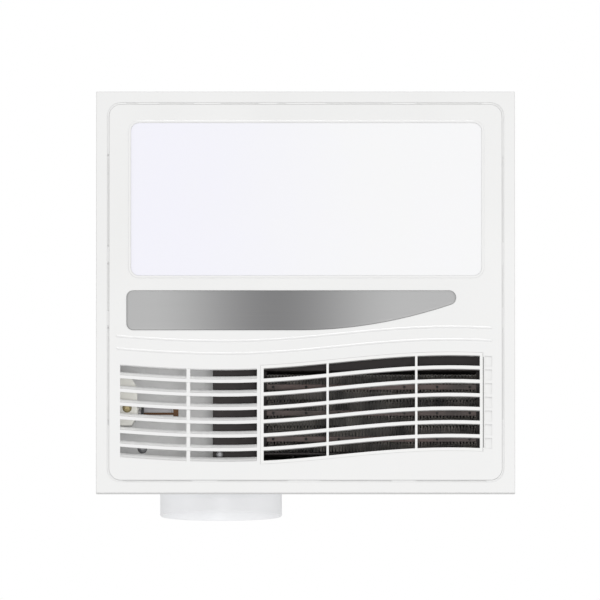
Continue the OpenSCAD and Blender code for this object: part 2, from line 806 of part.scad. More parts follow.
// Motor hung in the lid, partly inside the wheel
module blower_motor() {
    ear_z = scroll_z1 + scroll_t + 3;
    r = motor_r;
    color("silver")
        translate([wheel_x, wheel_y, 0])
            difference() {
                union() {
                    rotate_extrude($fn = 96)
                        polygon([[0, motor_z0 - 3], [8, motor_z0 - 3], [8, motor_z0], [r - 4, motor_z0], [r, motor_z0 + 4],
                            [r, ear_z - 4], [r + 1, ear_z - 4], [r + 1, ear_z + 4], [r, ear_z + 4], [r, motor_z1 - 4],
                            [r - 4, motor_z1], [10, motor_z1], [9, motor_z1 + 2], [0, motor_z1 + 2]]);
                    for (a = [30, 150, 270])
                        rotate([0, 0, a])
                            difference() {
                                union() {
                                    block([r - 4, motor_ear_r], [-6, 6], [ear_z, ear_z + 1.5]);
                                    translate([motor_ear_r, 0, ear_z])
                                        cylinder(r = 6, h = 1.5);
                                }
                                translate([motor_ear_r, 0, ear_z - 1])
                                    cylinder(r = 2.2, h = 5);
                            }
                }
                for (a = [0:30:330])
                    rotate([0, 0, a + 15])
                        block([r - 14, r - 6], [-1.2, 1.2], [motor_z1 - 2, motor_z1 + 1]);
                translate([0, 0, motor_z0 - 4])
                    cylinder(d = shaft_d + 2 * run, h = 28);
            }
}

module motor_grommets() {
    color("dimgray")
        for (p = motor_ear_places())
            translate([p[0], p[1], 0])
                rotate_extrude($fn = 32)
                    polygon([[2, scroll_z1 + scroll_t], [5.5, scroll_z1 + scroll_t], [5.5, scroll_z1 + scroll_t + 3],
                        [2, scroll_z1 + scroll_t + 3]]);
}

module motor_screws() {
    color("silver")
        for (p = motor_ear_places())
            translate([p[0], p[1], scroll_z1 + scroll_t + 4.5])
                mirror([0, 0, 1])
                    pan_screw(1.9, 9);
}

// Small can motor with an offset shaft, on the outside of the chamber wall
module damper_motor() {
    can_y = axle_y - 8;
    x1 = chamber_x0 - 2.4;
    color("silver")
        difference() {
            union() {
                translate([x1 - 19, can_y, axle_z])
                    rotate([0, 90, 0])
                        cylinder(r = 14, h = 19, $fn = 64);
                translate([x1 - 1, can_y, axle_z])
                    for (a = [0, -90])
                        rotate([a, 0, 0])
                            damper_lug();
                block([x1 - 17, x1 - 3], [can_y - 16.5, can_y - 10], [axle_z - 7, axle_z + 7]);
            }
            translate([x1 - 9, axle_y, axle_z])
                rotate([0, 90, 0])
                    cylinder(r = axle_d / 2 + run, h = 12);
        }
}

// Fixing lug of the damper motor, pointing away from the duct wall
module damper_lug() {
    rotate([0, 90, 0])
        linear_extrude(1)
            difference() {
                union() {
                    translate([-3.5, -17.5])
                        square([7, 17.5]);
                    translate([0, -17.5])
                        circle(3.5);
                }
                translate([0, -17.5])
                    circle(2.1);
            }
}

function collar_screw_places() =
    [for (sx = [-1, 1], sz = [-1, 1])
        [duct_x + sx * (collar_flange / 2 - 6), duct_z + sz * (collar_flange / 2 - 6)]];

// Round collar on a square flange, with the seat of the diverter inside and the flap's bearing ears
module duct_collar() {
    y0 = collar_y;
    color("aliceblue")
        difference() {
            union() {
                translate([duct_x, y0, duct_z])
                    rotate([-90, 0, 0])
                        linear_extrude(collar_flange_t)
                            difference() {
                                rounded(collar_flange, collar_flange, 5);
                                circle(duct_bore + 0.1, $fn = 96);
                            }
                translate([duct_x, y0, duct_z])
                    rotate([-90, 0, 0])
                        rotate_extrude($fn = 120)
                            polygon([[duct_bore - 1.5, seat_y - y0], [duct_bore + 0.2, seat_y - y0],
                                [duct_bore + 0.2, collar_flange_t - eps], [duct_r + 1.6, collar_flange_t - eps],
                                [duct_r - 0.4, collar_flange_t + 1.6], [duct_r - 0.4, sleeve_y - y0 - 0.4],
                                [duct_r, sleeve_y - y0], [duct_r, duct_out - 0.9], [duct_r - 0.9, duct_out],
                                [duct_bore + 0.4, duct_out], [duct_bore, duct_out - 0.8], [duct_bore, 3],
                                [duct_bore - 1.5, 1.5]]);
                difference() {
                    translate([duct_x, backdraft_y - fit, duct_z])
                        rotate([90, 0, 0])
                            rotate_extrude($fn = 96)
                                polygon([[duct_bore - backdraft_lip, 0], [duct_bore + 0.5, 0], [duct_bore + 0.5, 3],
                                    [duct_bore - backdraft_lip, 1.5]]);
                    block([duct_x - 22, duct_x + 22], [backdraft_y - 5, backdraft_y + 1],
                        [duct_z + backdraft_dz - 4, duct_z + duct_r]);
                }
                intersection() {
                    for (s = [-1, 1])
                        block([duct_x + s * 18 - 1.5, duct_x + s * 18 + 1.5], [backdraft_y - 3.4, backdraft_y + 3.4],
                            [duct_z + backdraft_dz - 3, duct_z + duct_r]);
                    translate([duct_x, 0, duct_z])
                        rotate([-90, 0, 0])
                            cylinder(r = duct_bore + 0.6, h = box_l, $fn = 96);
                }
            }
            translate([duct_x - 40, backdraft_y, duct_z + backdraft_dz])
                rotate([0, 90, 0])
                    cylinder(r = backdraft_pin_r + run, h = 80);
            for (p = collar_screw_places())
                translate([p[0], y0 - 1, p[1]])
                    rotate([-90, 0, 0])
                        cylinder(r = screw_r, h = 5);
        }
}

module collar_seal() {
    color("dimgray")
        translate([duct_x, box_l / 2, duct_z])
            rotate([-90, 0, 0])
                difference() {
                    rounded_plate(collar_flange - 1, collar_flange - 1, 5, 0, collar_seal_t);
                    translate([0, 0, -1])
                        cylinder(r = duct_bore + 1.5, h = 4, $fn = 96);
                    for (sx = [-1, 1], sz = [-1, 1])
                        translate([sx * (collar_flange / 2 - 6), sz * (collar_flange / 2 - 6), -1])
                            cylinder(r = screw_r, h = 4);
                }
}

module collar_screws() {
    color("silver")
        for (p = collar_screw_places())
            translate([p[0], collar_y + collar_flange_t, p[1]])
                rotate([90, 0, 0])
                    pan_screw(screw_r, collar_flange_t + collar_seal_t + sheet);
}

// Black duct round the heater element, hung under the air box floor
module heater_frame() {
    w = heater_wall;
    color("dimgray")
        difference() {
            union() {
                block([heater_x0 - w, heater_x1 + w], [heater_y0 - w, heater_y1 + w], [heater_bottom, floor_z]);
                block([heater_x0 - w, heater_x1 + w], [heater_y0 - w - 13, heater_y0], [heater_bottom, heater_bottom + w]);
                block([heater_x0 - w, heater_x1 + 5], [heater_y0 - 9, heater_y1 + 9], [floor_z - 2, floor_z]);
                for (k = [-1, 0, 1])
                    block([heater_x0 + 88 + k * 60 - 1, heater_x0 + 88 + k * 60 + 1],
                        [heater_y0 - 5, heater_y1 + 5], [heater_bottom + 14, floor_z]);
            }
            block([heater_x0, heater_x1], [heater_y0, heater_y1], [heater_bottom - 1, floor_z + 1]);
            block([heater_x0 - w - 1, heater_x0 + 1], [heater_mid_y - 22, heater_mid_y + 22],
                [element_z + 2, element_z + heater_depth - 2]);
            for (p = heater_screw_places())
                translate([p[0], p[1], floor_z - 3])
                    cylinder(r = 1.6, h = 5);
        }
}

function heater_screw_places() =
    [for (x = [heater_x0 + 8, heater_x0 + 58, heater_x1 - 58, heater_x1 - 8], y = [heater_y0 - 5.2, heater_y1 + 5.2])
        [x, y]];

module heater_screws() {
    color("silver")
        for (p = heater_screw_places())
            translate([p[0], p[1], floor_z - 2])
                pan_screw(1.6, 7);
}

// Black cover of the heater's terminals, the dark block behind the inlet slots
module heater_cover() {
    x1 = heater_x0 - heater_wall - 0.2;
    color("dimgray")
        difference() {
            union() {
                block([cover_x0, x1], [cover_y0, cover_y1], [4, floor_z]);
                block([cover_x0 + 10, x1 - 6], [cover_y0 - 5, cover_y1 + 2.6], [floor_z - 2, floor_z]);
            }
            block([cover_x0 + 1.8, x1 + 1], [cover_y0 + 1.8, cover_y1 - 1.8], [5.8, floor_z - 1.8]);
            translate([cover_x0 + 5.6, cover_y1 - 8.5, 3])
                cylinder(r = 1.5, h = 6);
        }
}

module cover_screw() {
    color("silver")
        translate([cover_x0 + 5.6, cover_y1 - 8.5, 4])
            pan_screw(1.5, 8);
}

function tube_y(i) = heater_mid_y + (i - (tube_count - 1) / 2) * tube_pitch;

module ptc_tubes() {
    color("silver")
        for (i = [0:tube_count - 1])
            difference() {
                block([fin_x0 - 3, fin_x1 + 3], [tube_y(i) - tube_w / 2, tube_y(i) + tube_w / 2],
                    [element_z, element_z + heater_depth]);
                for (k = [-3:3])
                    translate([fin_mid_x + k * 26.6, tube_y(i), element_z - 1])
                        cylinder(r = 0.8, h = 1.6);
            }
}

// One fin strip, a folded ribbon
module fin_strip(y0) {
    pitch = (fin_x1 - fin_x0) / fin_folds;
    lower = [for (i = [0:fin_folds]) [fin_x0 + i * pitch, y0 + (i % 2) * (fin_w - fin_t)]];
    upper = [for (p = turned(lower)) [p[0], p[1] + fin_t]];
    translate([0, 0, element_z])
        linear_extrude(heater_depth)
            polygon(concat(lower, upper));
}

module ptc_fins() {
    color("silver")
        for (i = [0:tube_count - 1]) {
            fin_strip(tube_y(i) + tube_w / 2);
            fin_strip(tube_y(i) - tube_w / 2 - fin_w);
        }
}

module ptc_end_caps() {
    color("dimgray")
        for (x = [[heater_x0, fin_x0], [fin_x1, heater_x1]])
            difference() {
                block(x, [heater_y0, heater_y1], [element_z - 2, element_z + heater_depth + 2]);
                for (i = [0:tube_count - 1])
                    block([fin_x0 - 3, fin_x1 + 3], [tube_y(i) - tube_w / 2, tube_y(i) + tube_w / 2],
                        [element_z, element_z + heater_depth]);
            }
}

module heater_terminals() {
    color("gold")
        for (i = [0:tube_count - 1])
            difference() {
                block([heater_x0 - 12, heater_x0], [tube_y(i) - 0.4, tube_y(i) + 0.4], [element_z + 8, element_z + 14.3]);
                translate([heater_x0 - 8, tube_y(i) - 2, element_z + 11])
                    rotate([-90, 0, 0])
                        cylinder(r = 0.8, h = 4);
            }
}

// Disc thermostat under the air box floor, inside the terminal cover
module thermal_cutout() {
    x = (cover_x0 + heater_x0) / 2;
    y = heater_mid_y - 26;
    z1 = floor_z - 1.8;
    color("black") {
        translate([x, y, z1 - 9])
            cylinder(r = 8, h = 7.8);
        translate([x, y, z1 - 1.2])
            linear_extrude(1.2)
                square([24, 10], center = true);
        for (s = [-1, 1])
            translate([x + s * 3.5 - 0.4, y - 3, z1 - 15])
                cube([0.8, 6, 7]);
    }
}

sensor_y = [67, 107];
sensor_z = [5, 23];
sensor_axis_y = 92;
earth_at = [-132.7, 122.6];

// Ivory holder of the room-air sensor, on the housing's left wall
module sensor_bracket() {
    x0 = -inner_x;
    color("ivory")
        difference() {
            union() {
                translate([0, 0, sensor_z[0]])
                    linear_extrude(sensor_z[1] - sensor_z[0])
                        polygon([[x0, sensor_y[0]], [x0 + 10, sensor_y[0]], [x0 + 15.5, sensor_y[0] + 9],
                            [x0 + 15.5, sensor_y[1] - 8], [x0 + 11, sensor_y[1]], [x0, sensor_y[1]]]);
                translate([x0 + 7.3, sensor_axis_y + 0.8, sensor_z[0] - 1])
                    cylinder(r = 6, h = 2);
                translate([x0 + 15, sensor_axis_y + 4, sensor_z[0] + 7])
                    rotate([0, 90, 0])
                        cylinder(r = 4.4, h = 5);
                block([x0 + 19.5, x0 + 44], [sensor_axis_y + 1.3, sensor_axis_y + 4], [sensor_z[0] + 6.5, sensor_z[0] + 8]);
            }
            translate([x0 + 7.3, sensor_axis_y + 0.8, sensor_z[0] - 2])
                cylinder(r = 1.9, h = 12);
            translate([x0 + 12, sensor_axis_y + 4, sensor_z[0] + 7])
                rotate([0, 90, 0])
                    cylinder(r = 2, h = 8);
            block([x0 + 3, x0 + 12], [sensor_y[0] + 4, sensor_y[1] - 4], [sensor_z[1] - 4, sensor_z[1] + 1]);
        }
}

// Brass stem and brown head of the room-air sensor
module sensor_probe() {
    x0 = -inner_x + 13;
    y = sensor_axis_y + 4;
    color("sienna") {
        translate([x0, y, sensor_z[0] + 7])
            rotate([0, 90, 0])
                cylinder(r = 2, h = 6.4);
        block([x0 + 6, x0 + 32], [y + 0.1, y + 1.9], [sensor_z[0] + 6.5, sensor_z[0] + 7.5]);
        block([x0 + 31.8, x0 + 36], [y - 3.4, y + 3.2], [sensor_z[0] + 3.5, sensor_z[0] + 10]);
    }
}

module bracket_screw() {
    color("goldenrod")
        translate([-inner_x + 7.3, sensor_axis_y + 0.8, sensor_z[0] - 1])
            pan_screw(1.9, 10);
}

module earth_screw() {
    color("silver")
        translate([earth_at[0], earth_at[1], floor_z])
            pan_screw(2, 2.1);
}

ctrl_x = [-148, -72];
ctrl_y = [-138, -40];
ctrl_z = [84, 160];

// Sheet box of the controls, on the housing's left wall
module control_box() {
    t = sheet;
    color("lightgray")
        difference() {
            union() {
                block(ctrl_x, ctrl_y, ctrl_z);
                block([-inner_x, ctrl_x[0]], [ctrl_y[0] + 10, ctrl_y[1] - 10], [ctrl_z[1] - 8, ctrl_z[1]]);
                block([-inner_x, ctrl_x[0]], [ctrl_y[0] + 10, ctrl_y[1] - 10], [ctrl_z[0], ctrl_z[0] + 6]);
            }
            block([ctrl_x[0] + t, ctrl_x[1] - t], [ctrl_y[0] + t, ctrl_y[1] - t], [ctrl_z[0] - 1, ctrl_z[1] - t]);
            translate([-inner_x - 1, gland_y, gland_z])
                rotate([0, 90, 0])
                    cylinder(r = gland_r + 0.1, h = 8);
        }
}

module control_lid() {
    color("silver")
        difference() {
            union() {
                block([ctrl_x[0] - 1, ctrl_x[1] + 1], [ctrl_y[0] - 1, ctrl_y[1] + 1], [ctrl_z[0] - sheet, ctrl_z[0]]);
                for (s = [0, 1])
                    block([ctrl_x[1] + 0.1, ctrl_x[1] + 1], [ctrl_y[s] - s * 20 + 2, ctrl_y[s] - s * 20 + 18],
                        [ctrl_z[0] - sheet, ctrl_z[0] + 12]);
            }
            for (k = [0:5])
                block([ctrl_x[0] + 14 + k * 9, ctrl_x[0] + 18 + k * 9], [ctrl_y[0] + 30, ctrl_y[1] - 20],
                    [ctrl_z[0] - 2, ctrl_z[0] + 1]);
        }
}

module control_board() {
    z = ctrl_z[1] - sheet - 8;
    color("darkgreen") {
        block([ctrl_x[0] + 8, ctrl_x[1] - 6], [ctrl_y[0] + 6, ctrl_y[1] - 6], [z, z + 1.6]);
        for (sx = [0, 1], sy = [0, 1])
            translate([ctrl_x[0] + 14 + sx * 50, ctrl_y[0] + 12 + sy * 74, z + 1.6 - eps])
                cylinder(r = 3, h = 6.4 + eps);
        for (k = [0:3])
            block([ctrl_x[0] + 16 + k * 13, ctrl_x[0] + 26 + k * 13], [ctrl_y[0] + 20, ctrl_y[0] + 36], [z - 14, z + eps]);
        block([ctrl_x[0] + 30, ctrl_x[0] + 56], [ctrl_y[0] + 44, ctrl_y[0] + 62], [z - 20, z + eps]);
    }
}

module terminal_block() {
    z = ctrl_z[0];
    color("white")
        difference() {
            block([ctrl_x[1] - 22, ctrl_x[1] - 4], [gland_y - 24, gland_y + 24], [z, z + 16]);
            for (k = [-2:2])
                translate([ctrl_x[1] - 13, gland_y + k * 9, z + 4]) {
                    cylinder(r = 2, h = 20);
                    rotate([0, -90, 0])
                        translate([4, 0, 0])
                            cylinder(r = 2, h = 20);
                }
        }
}

// Cable gland in the housing's left wall: body with its hexagon, stub and inner nut
module cable_gland() {
    r = gland_r;
    nut_z = -2 * sheet - (ctrl_x[0] + inner_x) - 4;
    color("black")
        translate([-inner_x - sheet, gland_y, gland_z])
            rotate([0, -90, 0])
                difference() {
                    union() {
                        translate([0, 0, nut_z - 1])
                            cylinder(r = r, h = 2 - nut_z);
                        cylinder(r = r + 3.6, h = 5, $fn = 6);
                        cylinder(r = gland_stub_r, h = 11);
                        translate([0, 0, nut_z])
                            cylinder(r = r + 3, h = 4, $fn = 6);
                    }
                    translate([0, 0, -14])
                        cylinder(r = gland_bore / 2 + 0.6, h = 34);
                }
}

// Cap of the gland, screwed on the stub, with the clamping bore
module gland_cap() {
    r = gland_r;
    color("black")
        translate([-inner_x - sheet, gland_y, gland_z])
            rotate([0, -90, 0])
                difference() {
                    union() {
                        translate([0, 0, 5])
                            cylinder(r = r + 1.6, h = 7);
                        for (a = [0:30:330])
                            rotate([0, 0, a])
                                translate([r + 1.4, -0.7, 6])
                                    cube([0.8, 1.4, 5]);
                        translate([0, 0, 12 - eps])
                            cylinder(r1 = r + 1.6, r2 = gland_bore / 2 + 1.4, h = 3.6);
                    }
                    translate([0, 0, 4])
                        cylinder(r = gland_stub_r, h = 7);
                    translate([0, 0, 10])
                        cylinder(d = gland_bore, h = 34);
                }
}

function hanger_boss_places() = [for (sx = [-1, 1]) [sx * hanger_x, (hanger_y[0] + hanger_y[1]) / 2]];

// Inner cover with its windows, relief and inlet blades
module front_cover() {
    color("white")
        difference() {
            union() {
                difference() {
                    union() {
                        rounded_plate(cover_w, cover_l, cover_r, face_z, wall);
                        rounded_ring(cover_w, cover_l, cover_r, skirt_t, face_z, skirt_top - face_z);
                        translate([lens_x, lens_y, 0])
                            rounded_ring(lens_w + 4, lens_l + 4, lens_r + 2, 2 - fit, face_z - 0.4, 1);
                        for (dy = [-23.5, -13.3])
                            wave_band(ridge_x[0], ridge_x[1], dy, dy + 1.2, face_z - 0.4, 1);
                        wave_band(inlet_x0 - 1.8, inlet_x1 + 1.8, -1.8, grille_h + 1.8, face_z, bar_depth);
                        wave_band(insert_x0 - 1.9, insert_x1 + 1.9, -insert_edge - 1.9, grille_h + insert_edge + 1.9,
                            face_z, rail_top - face_z);
                        for (p = hanger_boss_places())
                            block([p[0] - 4, p[0] + 4], [p[1] - 10.5, p[1] + 10.5], [face_z, face_back + 3]);
                        for (x = [-100, 0, 100])
                            block([x - 0.8, x + 0.8], [trim_y0 - 2, trim_y0 + trim_h + 2], [face_z, face_back + 3]);
                    }
                    translate([lens_x, lens_y, 0])
                        rounded_plate(lens_w + 2 * snug, lens_l + 2 * snug, lens_r + snug, face_z - 2, wall + 4);
                    wave_band(inlet_x0, inlet_x1, 0, grille_h, face_z - 1, bar_depth + 2);
                    wave_band(insert_x0, insert_x1, -insert_edge, grille_h + insert_edge, face_z - 1, bar_depth + 2);
                    translate([0, 0, face_z - 1])
                        linear_extrude(1.8)
                            trim_outline(0.25);
                    for (k = [0:slot_count - 1])
                        wave_band(pocket_x[0], pocket_x[1], k * slot_pitch, k * slot_pitch + slot_gap,
                            face_z - 1, 1 + pocket_depth);
                }
                for (k = [1:slot_count - 1])
                    wave_blade(inlet_x0 - 0.9, inlet_x1 + 0.9, k * slot_pitch - slot_bar, slot_bar, face_z, bars_back,
                        -blade_lean);
                translate([0, 0, face_z + 0.2])
                    linear_extrude(bar_depth - 0.2)
                        polygon([[inlet_mid - inlet_bar_w / 2, grille_y + wave(inlet_mid) - 1],
                            [inlet_mid + inlet_bar_w / 2, grille_y + wave(inlet_mid) - 1],
                            [inlet_mid + inlet_bar_w / 2, grille_y + wave(inlet_mid) + grille_h + 1],
                            [inlet_mid - inlet_bar_w / 2, grille_y + wave(inlet_mid) + grille_h + 1]]);
            }
            for (p = hanger_boss_places(), k = [-1, 1])
                translate([p[0], p[1] + k * 8, face_back - 0.8])
                    cylinder(r = hanger_wire_r, h = 6);
            for (p = grille_screw_places())
                translate([p[0], p[1], rail_top - 3.1])
                    cylinder(r = 1.2, h = 4);
        }
}

inlet_mid = -95.1;

// Trim plate outline: its lower edge rises as a parabola to a round tip
module trim_outline(grow) {
    x0 = trim_x0;
    x1 = trim_x0 + trim_l;
    y0 = trim_y0;
    y1 = trim_y0 + trim_h;
    xs = trim_x0 + trim_straight;
    cx = x1 - trim_tip_r;
    cy = y0 + trim_tip_r;
    // the parabola's end, where it meets the tip circle
    end_a = 71;
    ex = cx + trim_tip_r * cos(end_a);
    ey = cy + trim_tip_r * sin(end_a);
    steps = 18;
    sweep = [for (i = [0:steps]) let (x = xs + (ex - xs) * i / steps)
        [x, y1 + grow - (y1 - ey) * pow((x - xs) / (ex - xs), 2)]];
    polygon(concat(arc(x0 + trim_r, y0 + trim_r, trim_r + grow, 270, 180, 8),
        arc(x0 + trim_r, y1 - trim_r, trim_r + grow, 180, 90, 8), sweep,
        arc(cx, cy, trim_tip_r + grow, end_a - 8, -90, 14)));
}

module trim_plate() {
    color("darkgray")
        translate([0, 0, face_z + 0.8 - trim_t])
            linear_extrude(trim_t)
                trim_outline(0);
}

// Heat-resistant insert over the heater
module outlet_grille() {
    x0 = insert_x0 + snug;
    x1 = insert_x1 - 0.2;
    span = outlet_x1 - outlet_x0;
    color("white") {
        difference() {
            union() {
                wave_band(x0, x1, -insert_edge + snug, grille_h + insert_edge - snug, face_z, bar_depth);
                wave_band(x0 + 0.2, x1 - 0.2, -insert_edge - 4, grille_h + insert_edge + 4, rail_top, 1.5);
            }
            for (k = [0:slot_count - 1])
                wave_band(outlet_x0, outlet_x1, k * slot_pitch, k * slot_pitch + slot_gap, face_z - 1, bar_depth + 2);
            for (p = grille_screw_places())
                translate([p[0], p[1], rail_top - 1])
                    cylinder(r = 1.3, h = 4);
        }
        for (b = outlet_bars)
            block([outlet_x0 + b * span - outlet_bar_w / 2, outlet_x0 + b * span + outlet_bar_w / 2],
                [grille_y + wave(outlet_x0 + b * span) - 0.5, grille_y + wave(outlet_x0 + b * span) + grille_h + 0.5],
                [face_z + 0.1, bars_back]);
    }
}

function grille_screw_places() =
    [for (x = [insert_x0 + 14, (insert_x0 + insert_x1) / 2, insert_x1 - 14], s = [0, 1])
        [x, grille_y + wave(x) + (s > 0 ? grille_h + insert_edge + 2.6 : -insert_edge - 2.6)]];

module grille_screws() {
    color("silver")
        for (p = grille_screw_places())
            translate([p[0], p[1], rail_top + 1.5])
                mirror([0, 0, 1])
                    pan_screw(1.2, 4.4);
}

// Opal panel on a flange behind the cover
module lamp_diffuser() {
    bevel = lens_proud;
    color("aliceblue")
        translate([lens_x, lens_y, 0]) {
            hull() {
                rounded_plate(lens_w - 2 * bevel, lens_l - 2 * bevel, lens_r - bevel, face_z - lens_proud, 0.1);
                rounded_plate(lens_w, lens_l, lens_r, face_z - lens_proud + bevel, 0.1);
            }
            rounded_plate(lens_w, lens_l, lens_r, face_z + 0.05, wall);
            rounded_plate(lens_w + 2 * lens_flange, lens_l + 2 * lens_flange, lens_r + lens_flange, face_back + 0.05,
                lens_flange_t);
        }
}

// Clips that hold the panel's flange to the cover
module lens_clips() {
    z = face_back + 0.05 + lens_flange_t;
    color("silver")
        for (x = [-1, 0, 1] * (lens_w / 2 - 52.2), s = [-1, 1])
            translate([lens_x + x, lens_y + s * (lens_l / 2 + lens_flange + 0.2), 0])
                mirror([0, s < 0 ? 1 : 0, 0]) {
                    block([-7, 7], [-3.4, 0.8], [z + 0.02, z + 0.82]);
                    block([-7, 7], [0, 0.8], [face_back, z + 0.5]);
                    block([-7, 7], [0, 4], [face_back, face_back + 0.8]);
                }
}

// Wire bails on the cover that slide in the housing's angles
module cover_hangers() {
    color("silver")
        for (p = hanger_boss_places()) {
            for (k = [-1, 1])
                translate([p[0], p[1] + k * 8, face_back - 0.8])
                    cylinder(r = hanger_wire_r, h = hanger_top - face_back + 0.8);
            translate([p[0], p[1] - 9.6, hanger_top])
                rotate([-90, 0, 0])
                    cylinder(r = hanger_wire_r, h = 19.2);
        }
}

// Forward-curved blade in plan, from the outer to the inner edge, leaning towards the turn
module blade_outline() {
    lead = 34;
    steps = 5;
    mid = [for (i = [0:steps]) let (s = i / steps, r = wheel_r - blade_depth * s)
        [r * cos(-lead * 0.28 * s * (2 - s) * 60 / wheel_r), r * sin(-lead * 0.28 * s * (2 - s) * 60 / wheel_r)]];
    outer = [for (p = mid) let (m = norm(p)) [p[0] - blade_t / 2 * -p[1] / m, p[1] - blade_t / 2 * p[0] / m]];
    inner = [for (p = mid) let (m = norm(p)) [p[0] + blade_t / 2 * -p[1] / m, p[1] + blade_t / 2 * p[0] / m]];
    polygon(concat(outer, turned(inner)));
}

module blower_wheel() {
    r = wheel_r;
    b = r - blade_depth;
    z0 = blade_z0;
    z1 = blade_z0 + blade_h;
    color("whitesmoke")
        translate([wheel_x, wheel_y, 0]) {
            translate([0, 0, z0 + 0.5])
                linear_extrude(blade_h)
                    for (k = [0:blade_count - 1])
                        rotate([0, 0, k * 360 / blade_count])
                            blade_outline();
            rotate_extrude($fn = 96)
                polygon([[r - 2.6, z0], [r + 0.6, z0], [r + 0.6, z0 + 4], [r - 2.6, z0 + 4]]);
            rotate_extrude($fn = 96)
                polygon([[wheel_ring_r, z1 - 1.5], [r + 0.6, z1 - 1.5], [r + 0.6, z1 + 1], [wheel_ring_r, z1 + 1]]);
        }
}

wheel_ring_r = motor_r + 11;

// Dished hub of the wheel, which leaves room for the motor, on the ring that carries the blades
module wheel_hub() {
    z1 = blade_z0 + blade_h;
    color("whitesmoke")
        translate([wheel_x, wheel_y, 0])
            rotate_extrude($fn = 96)
                polygon([[shaft_d / 2, hub_z0], [9, hub_z0], [9, hub_z0 + 6], [motor_r - 2, hub_z0 + 6],
                    [motor_r + 5, hub_z0 + 13], [motor_r + 6, z1 - 1.5], [wheel_ring_r, z1 - 1.5], [wheel_ring_r, z1 + 1],
                    [wheel_ring_r + 4, z1 + 1], [wheel_ring_r + 4, z1 + 2.4], [motor_r + 3.8, z1 + 2.4],
                    [motor_r + 2.8, hub_z0 + 14], [motor_r - 3, hub_z0 + 8], [shaft_d / 2, hub_z0 + 8]]);
}

module motor_shaft() {
    color("silver")
        translate([wheel_x, wheel_y, hub_z0 - 5])
            cylinder(d = shaft_d, h = motor_z0 + 20 - hub_z0 + 5);
}

module wheel_clip() {
    color("dimgray")
        translate([wheel_x, wheel_y, hub_z0 - 2.5])
            difference() {
                cylinder(r = shaft_d / 2 + 3, h = 2.5, $fn = 32);
                translate([0, 0, -1])
                    cylinder(d = shaft_d, h = 5);
            }
}

// Stepped flap on one axle: it stands against the duct, or lies over the heater's rim
module diverter_flap() {
    t = flap_t;
    z0 = axle_z;
    color("silver")
        difference() {
            union() {
                block(flap_left, [axle_y - t / 2, axle_y + t / 2], [z0, z0 + flap_left_h]);
                block(flap_right, [axle_y - t / 2, axle_y + t / 2], [z0, z0 + flap_right_h]);
                for (x = [[flap_left[0] + 4, flap_left[0] + 30], [-34, -8], [60, 86], [flap_right[1] - 30, flap_right[1] - 4]])
                    translate([x[0], axle_y, z0])
                        rotate([0, 90, 0])
                            cylinder(r = barrel_r, h = x[1] - x[0]);
                block([flap_left[0], flap_left[1]], [axle_y - 4, axle_y], [z0 + flap_left_h - 1, z0 + flap_left_h]);
                block([flap_left[1], flap_right[1]], [axle_y - 4, axle_y], [z0 + flap_right_h - 1, z0 + flap_right_h]);
            }
            translate([flap_left[0] - 1, axle_y, z0])
                rotate([0, 90, 0])
                    cylinder(d = axle_d, h = flap_right[1] - flap_left[0] + 2);
        }
}

module diverter_axle() {
    x0 = chamber_x0 - 2.4 - 8.5;
    color("silver")
        translate([x0, axle_y, axle_z])
            rotate([0, 90, 0])
                cylinder(d = axle_d, h = chamber_x1 + 2 - x0);
}

// Foam on both working faces of the flap
module flap_seals() {
    rim_x = [heater_x0 - 2, heater_x1 + 2];
    color("dimgray") {
        translate([duct_x, axle_y + flap_t / 2, duct_z])
            rotate([-90, 0, 0])
                difference() {
                    cylinder(r = duct_bore + 1, h = seal_t, $fn = 96);
                    translate([0, 0, -1])
                        cylinder(r = duct_bore - 5, h = 4, $fn = 96);
                }
        difference() {
            block([max(rim_x[0], flap_right[0] + 1), min(rim_x[1], flap_right[1] - 0.4)],
                [axle_y - flap_t / 2 - seal_t, axle_y - flap_t / 2],
                [axle_z + barrel_r + 0.4, axle_z + flap_right_h - 2]);
            block([rim_x[0] + 8, rim_x[1] - 8], [axle_y - 10, axle_y],
                [axle_z + barrel_r + 6, axle_z + flap_right_h - 10]);
        }
    }
}

// Disc that hangs from a pin at the top of the collar and lifts with the airflow
module backdraft_flap() {
    z = duct_z + backdraft_dz;
    color("white")
        difference() {
            union() {
                intersection() {
                    translate([duct_x, backdraft_y, duct_z])
                        rotate([-90, 0, 0])
                            cylinder(r = duct_bore - backdraft_gap, h = 1.2, $fn = 96);
                    translate([duct_x, backdraft_y + 3, duct_z])
                        rotate([90, 0, 0])
                            linear_extrude(6)
                                polygon([[-backdraft_top, backdraft_dz], [-duct_r, -6], [-duct_r, -duct_r],
                                    [duct_r, -duct_r], [duct_r, -6], [backdraft_top, backdraft_dz]]);
                }
                for (s = [-1, 1])
                    translate([duct_x + s * 10 - 4, backdraft_y, z])
                        rotate([0, 90, 0])
                            cylinder(r = backdraft_pin_r + 1.1, h = 8);
                for (s = [-1, 1])
                    block([duct_x + s * 10 - 0.8, duct_x + s * 10 + 0.8], [backdraft_y + 1, backdraft_y + 3],
                        [duct_z - 30, z]);
            }
            translate([duct_x - 30, backdraft_y, z])
                rotate([0, 90, 0])
                    cylinder(r = backdraft_pin_r, h = 60);
            for (s = [-1, 1])
                block([duct_x + s * 18 - 2.2, duct_x + s * 18 + 2.2], [backdraft_y - 4, backdraft_y + 4], [z - 5.4, z + 4]);
        }
}

module backdraft_pin() {
    color("silver")
        translate([duct_x - 21, backdraft_y, duct_z + backdraft_dz])
            rotate([0, 90, 0])
                cylinder(r = backdraft_pin_r, h = 42);
}

